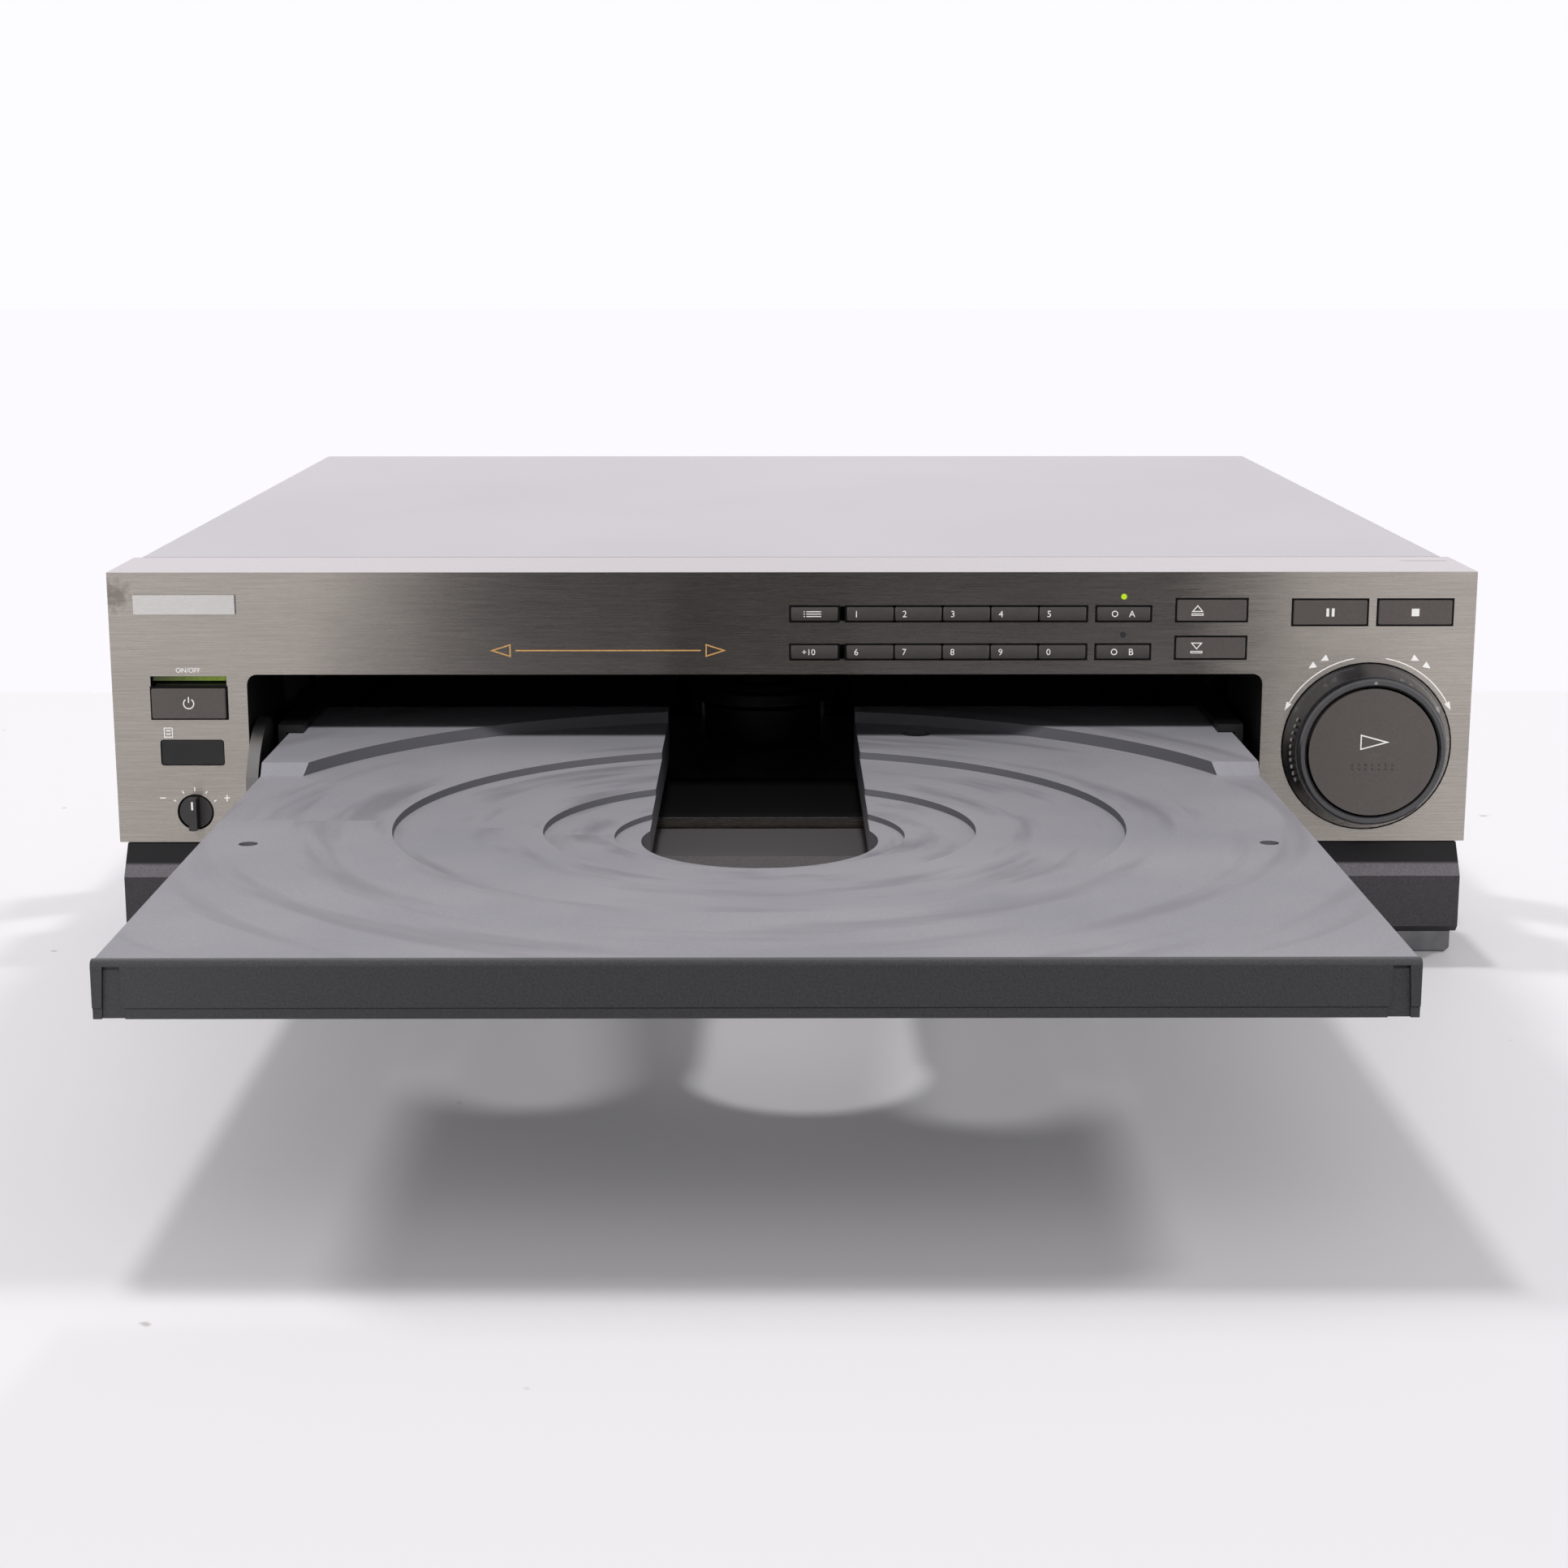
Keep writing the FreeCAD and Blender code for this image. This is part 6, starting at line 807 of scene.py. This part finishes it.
jack_x, jack_z = (-142.5, -127.5, -112.5, -97.5), (62.5, 77.5)
nickel = grained_finish("nickel_plated_brass", (350.0, 4.0), "#a39d92", "#cdc8be", shine=(0.16, 0.34),
                        Metallic=1.0)
make_rings("jack_sleeves", [(x, z) for x in jack_x for z in jack_z],
           ((4.1, 324.6), (4.45, 324.6), (4.45, 332.7), (4.2, 333.1), (4.1, 333.1)), nickel)
for name, dark, light, x in (
    ("yellow", "#b8921c", "#cfa92c", jack_x[0]), ("white", "#c4c1ba", "#dad8d2", jack_x[1]),
    ("red", "#8c2220", "#a52f2b", jack_x[2]), ("grey", "#4a4a4b", "#5c5c5d", jack_x[3]),
):
    fibre = grained_finish(f"{name}_fibre_washer", (1600.0, 3.0), dark, light, Roughness=0.7)
    make_rings(f"{name}_jack_washers", [(x, z) for z in jack_z],
               ((4.5, 324.2), (6.2, 324.2), (6.2, 324.9), (6.0, 325.1), (4.5, 325.1)), fibre)

# painted shade: thin black boxes on the rear screws' heads stand for the shade in their crossed slots
slot_shades = bmesh.new()
for x in (-142 * mm, 0, 142 * mm):
    centre = (x, screw_high.y, screw_high.z - head_radius)
    for lean in (slot_turn, slot_turn + math.pi / 2):
        stands = Matrix.Translation(centre) @ Matrix.Rotation(lean, 4, "Y")
        shape = Matrix.Diagonal((3.6 * mm, 0.08 * mm, 0.7 * mm, 1))
        bmesh.ops.create_cube(slot_shades, size=1.0, matrix=stands @ shape)
make_piece(slot_shades, "screw_slot_shades", "player_body", rubber)


# Edges: no moulded, punched or sheared edge is truly sharp, so the outer pieces get the small
# rounding that their tools leave, from 0.25 mm on the knob to 1.5 mm on the number keys' crowned caps.
for names, rounding, steps in (
    (low_keys, 1.5, 6), (tall_keys, 0.9, 5),
    (("tray_front", "base_pan", "feet"), 0.6, 3), (("picture_dial", "badge_plate"), 0.25, 3),
):
    for name in names:
        weld = nodes[name].modifiers.new("weld", "WELD")
        weld.merge_threshold = 1e-6
        bevel = nodes[name].modifiers.new("bevel", "BEVEL")
        bevel.width = rounding * mm
        bevel.segments = steps
        bevel.limit_method = "ANGLE"
        bevel.angle_limit = math.radians(40)
        bevel.use_clamp_overlap = True
        bevel.harden_normals = True


# Studio: a pale floor, a white wall and surround, and two dark panels in front that only metal mirrors.
# One soft lamp lights the front, three over and behind the player light the rest except the tray, and
# three more light the floor alone, where only the tray with its front and the base with its feet shade it.
floor_mesh = bpy.data.meshes.new("studio_floor")
drawing = bmesh.new()
bmesh.ops.create_grid(drawing, x_segments=1, y_segments=1, size=6.0)
drawing.to_mesh(floor_mesh)
drawing.free()
floor = bpy.data.objects.new("studio_floor", floor_mesh)
bpy.context.scene.collection.objects.link(floor)
floor_paint, tree, shader, place = new_finish("white_floor_paint", Roughness=0.6,
                                              Emission_Color=linear("#fbf9fa"))
dirt = add(tree, "TexNoise", {"Scale": 60.0, "Detail": 2.0, "Vector": place})
specks = add(tree, "MapRange", {"From Min": 0.76, "From Max": 0.8, "Value": dirt})
speck_tone = add(tree, "Mix", {"data_type": "RGBA", 6: "#eae8ea", 7: "#a9a09c", 0: specks})
rays = add(tree, "LightPath", {})
seen = add(tree, "Math", {"operation": "ADD", 0: rays.outputs["Is Camera Ray"],
                          1: rays.outputs["Is Glossy Ray"]})
lift = add(tree, "Math", {"operation": "MULTIPLY", 1: 0.08, 0: seen})
drive(shader, Base_Color=speck_tone.outputs[2], Emission_Strength=lift)
wall_line = 388 * mm
rear = add(tree, "SeparateXYZ", {"Vector": place})
beyond = add(tree, "Math", {"operation": "GREATER_THAN", 1: wall_line, 0: rear.outputs["Y"]})
wall_light = add(tree, "Emission", {"Color": "#fcfaff", "Strength": 1.0})
blended = add(tree, "MixShader", {0: beyond, 1: shader.outputs["BSDF"], 2: wall_light})
tree.links.new(blended.outputs["Shader"], tree.nodes["Material Output"].inputs["Surface"])
floor_mesh.materials.append(floor_paint)

card_black, tree, shader, place = new_finish("black_card", Roughness=1.0)
glow = add(tree, "Emission", {"Color": "#292627", "Strength": 1.0})
tree.links.new(glow.outputs["Emission"], tree.nodes["Material Output"].inputs["Surface"])
panel_y = panel_low.y
eye_gap = panel_y - camera.location.y
left_edge, right_edge = -118 * mm, 153 * mm


def mirrored(x, distance):
    """Where the camera's line off the front panel at x arrives after a distance in front of it."""
    return x + (x - camera.location.x) / eye_gap * distance


for name, corners in (
    ("floor_card", [(mirrored(edge, away), panel_y - away, 3 * mm) for edge, away in
                    ((left_edge, 0.3), (right_edge, 0.3), (right_edge, 1.6), (left_edge, 1.6))]),
    ("standing_card", [(mirrored(edge, 1.6), panel_y - 1.6, height) for edge, height in
                       ((left_edge, 0.0), (right_edge, 0.0), (right_edge, 4.0), (left_edge, 4.0))]),
):
    drawing = bmesh.new()
    drawing.faces.new([drawing.verts.new(corner) for corner in corners])
    mesh = bpy.data.meshes.new(name)
    drawing.to_mesh(mesh)
    drawing.free()
    mesh.materials.append(card_black)
    card = bpy.data.objects.new(name, mesh)
    bpy.context.scene.collection.objects.link(card)
    card.visible_camera = card.visible_diffuse = card.visible_shadow = card.visible_transmission = False


def chosen(name, things, state):
    """A set of things that a lamp lights, or that it leaves out."""
    chosen_set = bpy.data.collections.new(name)
    for thing in things:
        chosen_set.objects.link(thing)
    for link in chosen_set.collection_objects:
        link.light_linking.link_state = state
    return chosen_set


upper = chosen("lit_from_behind", (nodes["tray"], floor), "EXCLUDE")
front = chosen("lit_from_in_front", (nodes["top_cover"], floor), "EXCLUDE")
ground = chosen("floor_only", (floor,), "INCLUDE")
low_nodes = [nodes[name] for name in ("tray", "tray_front", "base_pan", "feet")]
low_parts = chosen("low_parts", low_nodes, "INCLUDE")
for name, towards, level, spread, lit, blockers in (
    ("lamp_middle", (-0.014, 0.036, 0.055), 0.24, 7, upper, None),
    ("lamp_right", (0.067, 0.033, 0.055), 0.20, 9, upper, None),
    ("lamp_left", (-0.066, 0.048, 0.055), 0.20, 9, upper, None),
    ("lamp_front", (0.0, -0.063, 0.055), 0.68, 5, front, None),
    ("floor_middle", (-0.014, 0.036, 0.055), 0.28, 7, ground, low_parts),
    ("floor_right", (0.067, 0.033, 0.055), 0.20, 9, ground, low_parts),
    ("floor_left", (-0.066, 0.048, 0.055), 0.20, 9, ground, low_parts),
):
    direction = Vector(towards).normalized()
    sun = bpy.data.lights.new(name, "SUN")
    sun.energy = level * math.pi / direction.z
    sun.angle = math.radians(spread)
    lamp = bpy.data.objects.new(name, sun)
    lamp.visible_glossy = False
    lamp.light_linking.receiver_collection = lit
    if blockers:
        lamp.light_linking.blocker_collection = blockers
    lamp.rotation_euler = direction.to_track_quat("Z", "Y").to_euler()
    bpy.context.scene.collection.objects.link(lamp)

world = bpy.data.worlds.new("white_studio")
bpy.context.scene.world = world
world.use_nodes = True
tree = world.node_tree
rays = add(tree, "LightPath", {})
seen = add(tree, "Math", {"operation": "ADD", 0: rays.outputs["Is Camera Ray"],
                          1: rays.outputs["Is Glossy Ray"]})
seen_all = add(tree, "Math", {"operation": "ADD", "use_clamp": True, 0: seen,
                              1: rays.outputs["Is Transmission Ray"]})
strength = add(tree, "MapRange", {"To Min": 0.36, "To Max": 1.0, "Value": seen_all})
tree.nodes["Background"].inputs["Color"].default_value = linear("#fdfcff")
tree.links.new(strength.outputs["Result"], tree.nodes["Background"].inputs["Strength"])
bpy.context.scene.view_settings.view_transform = "Standard"
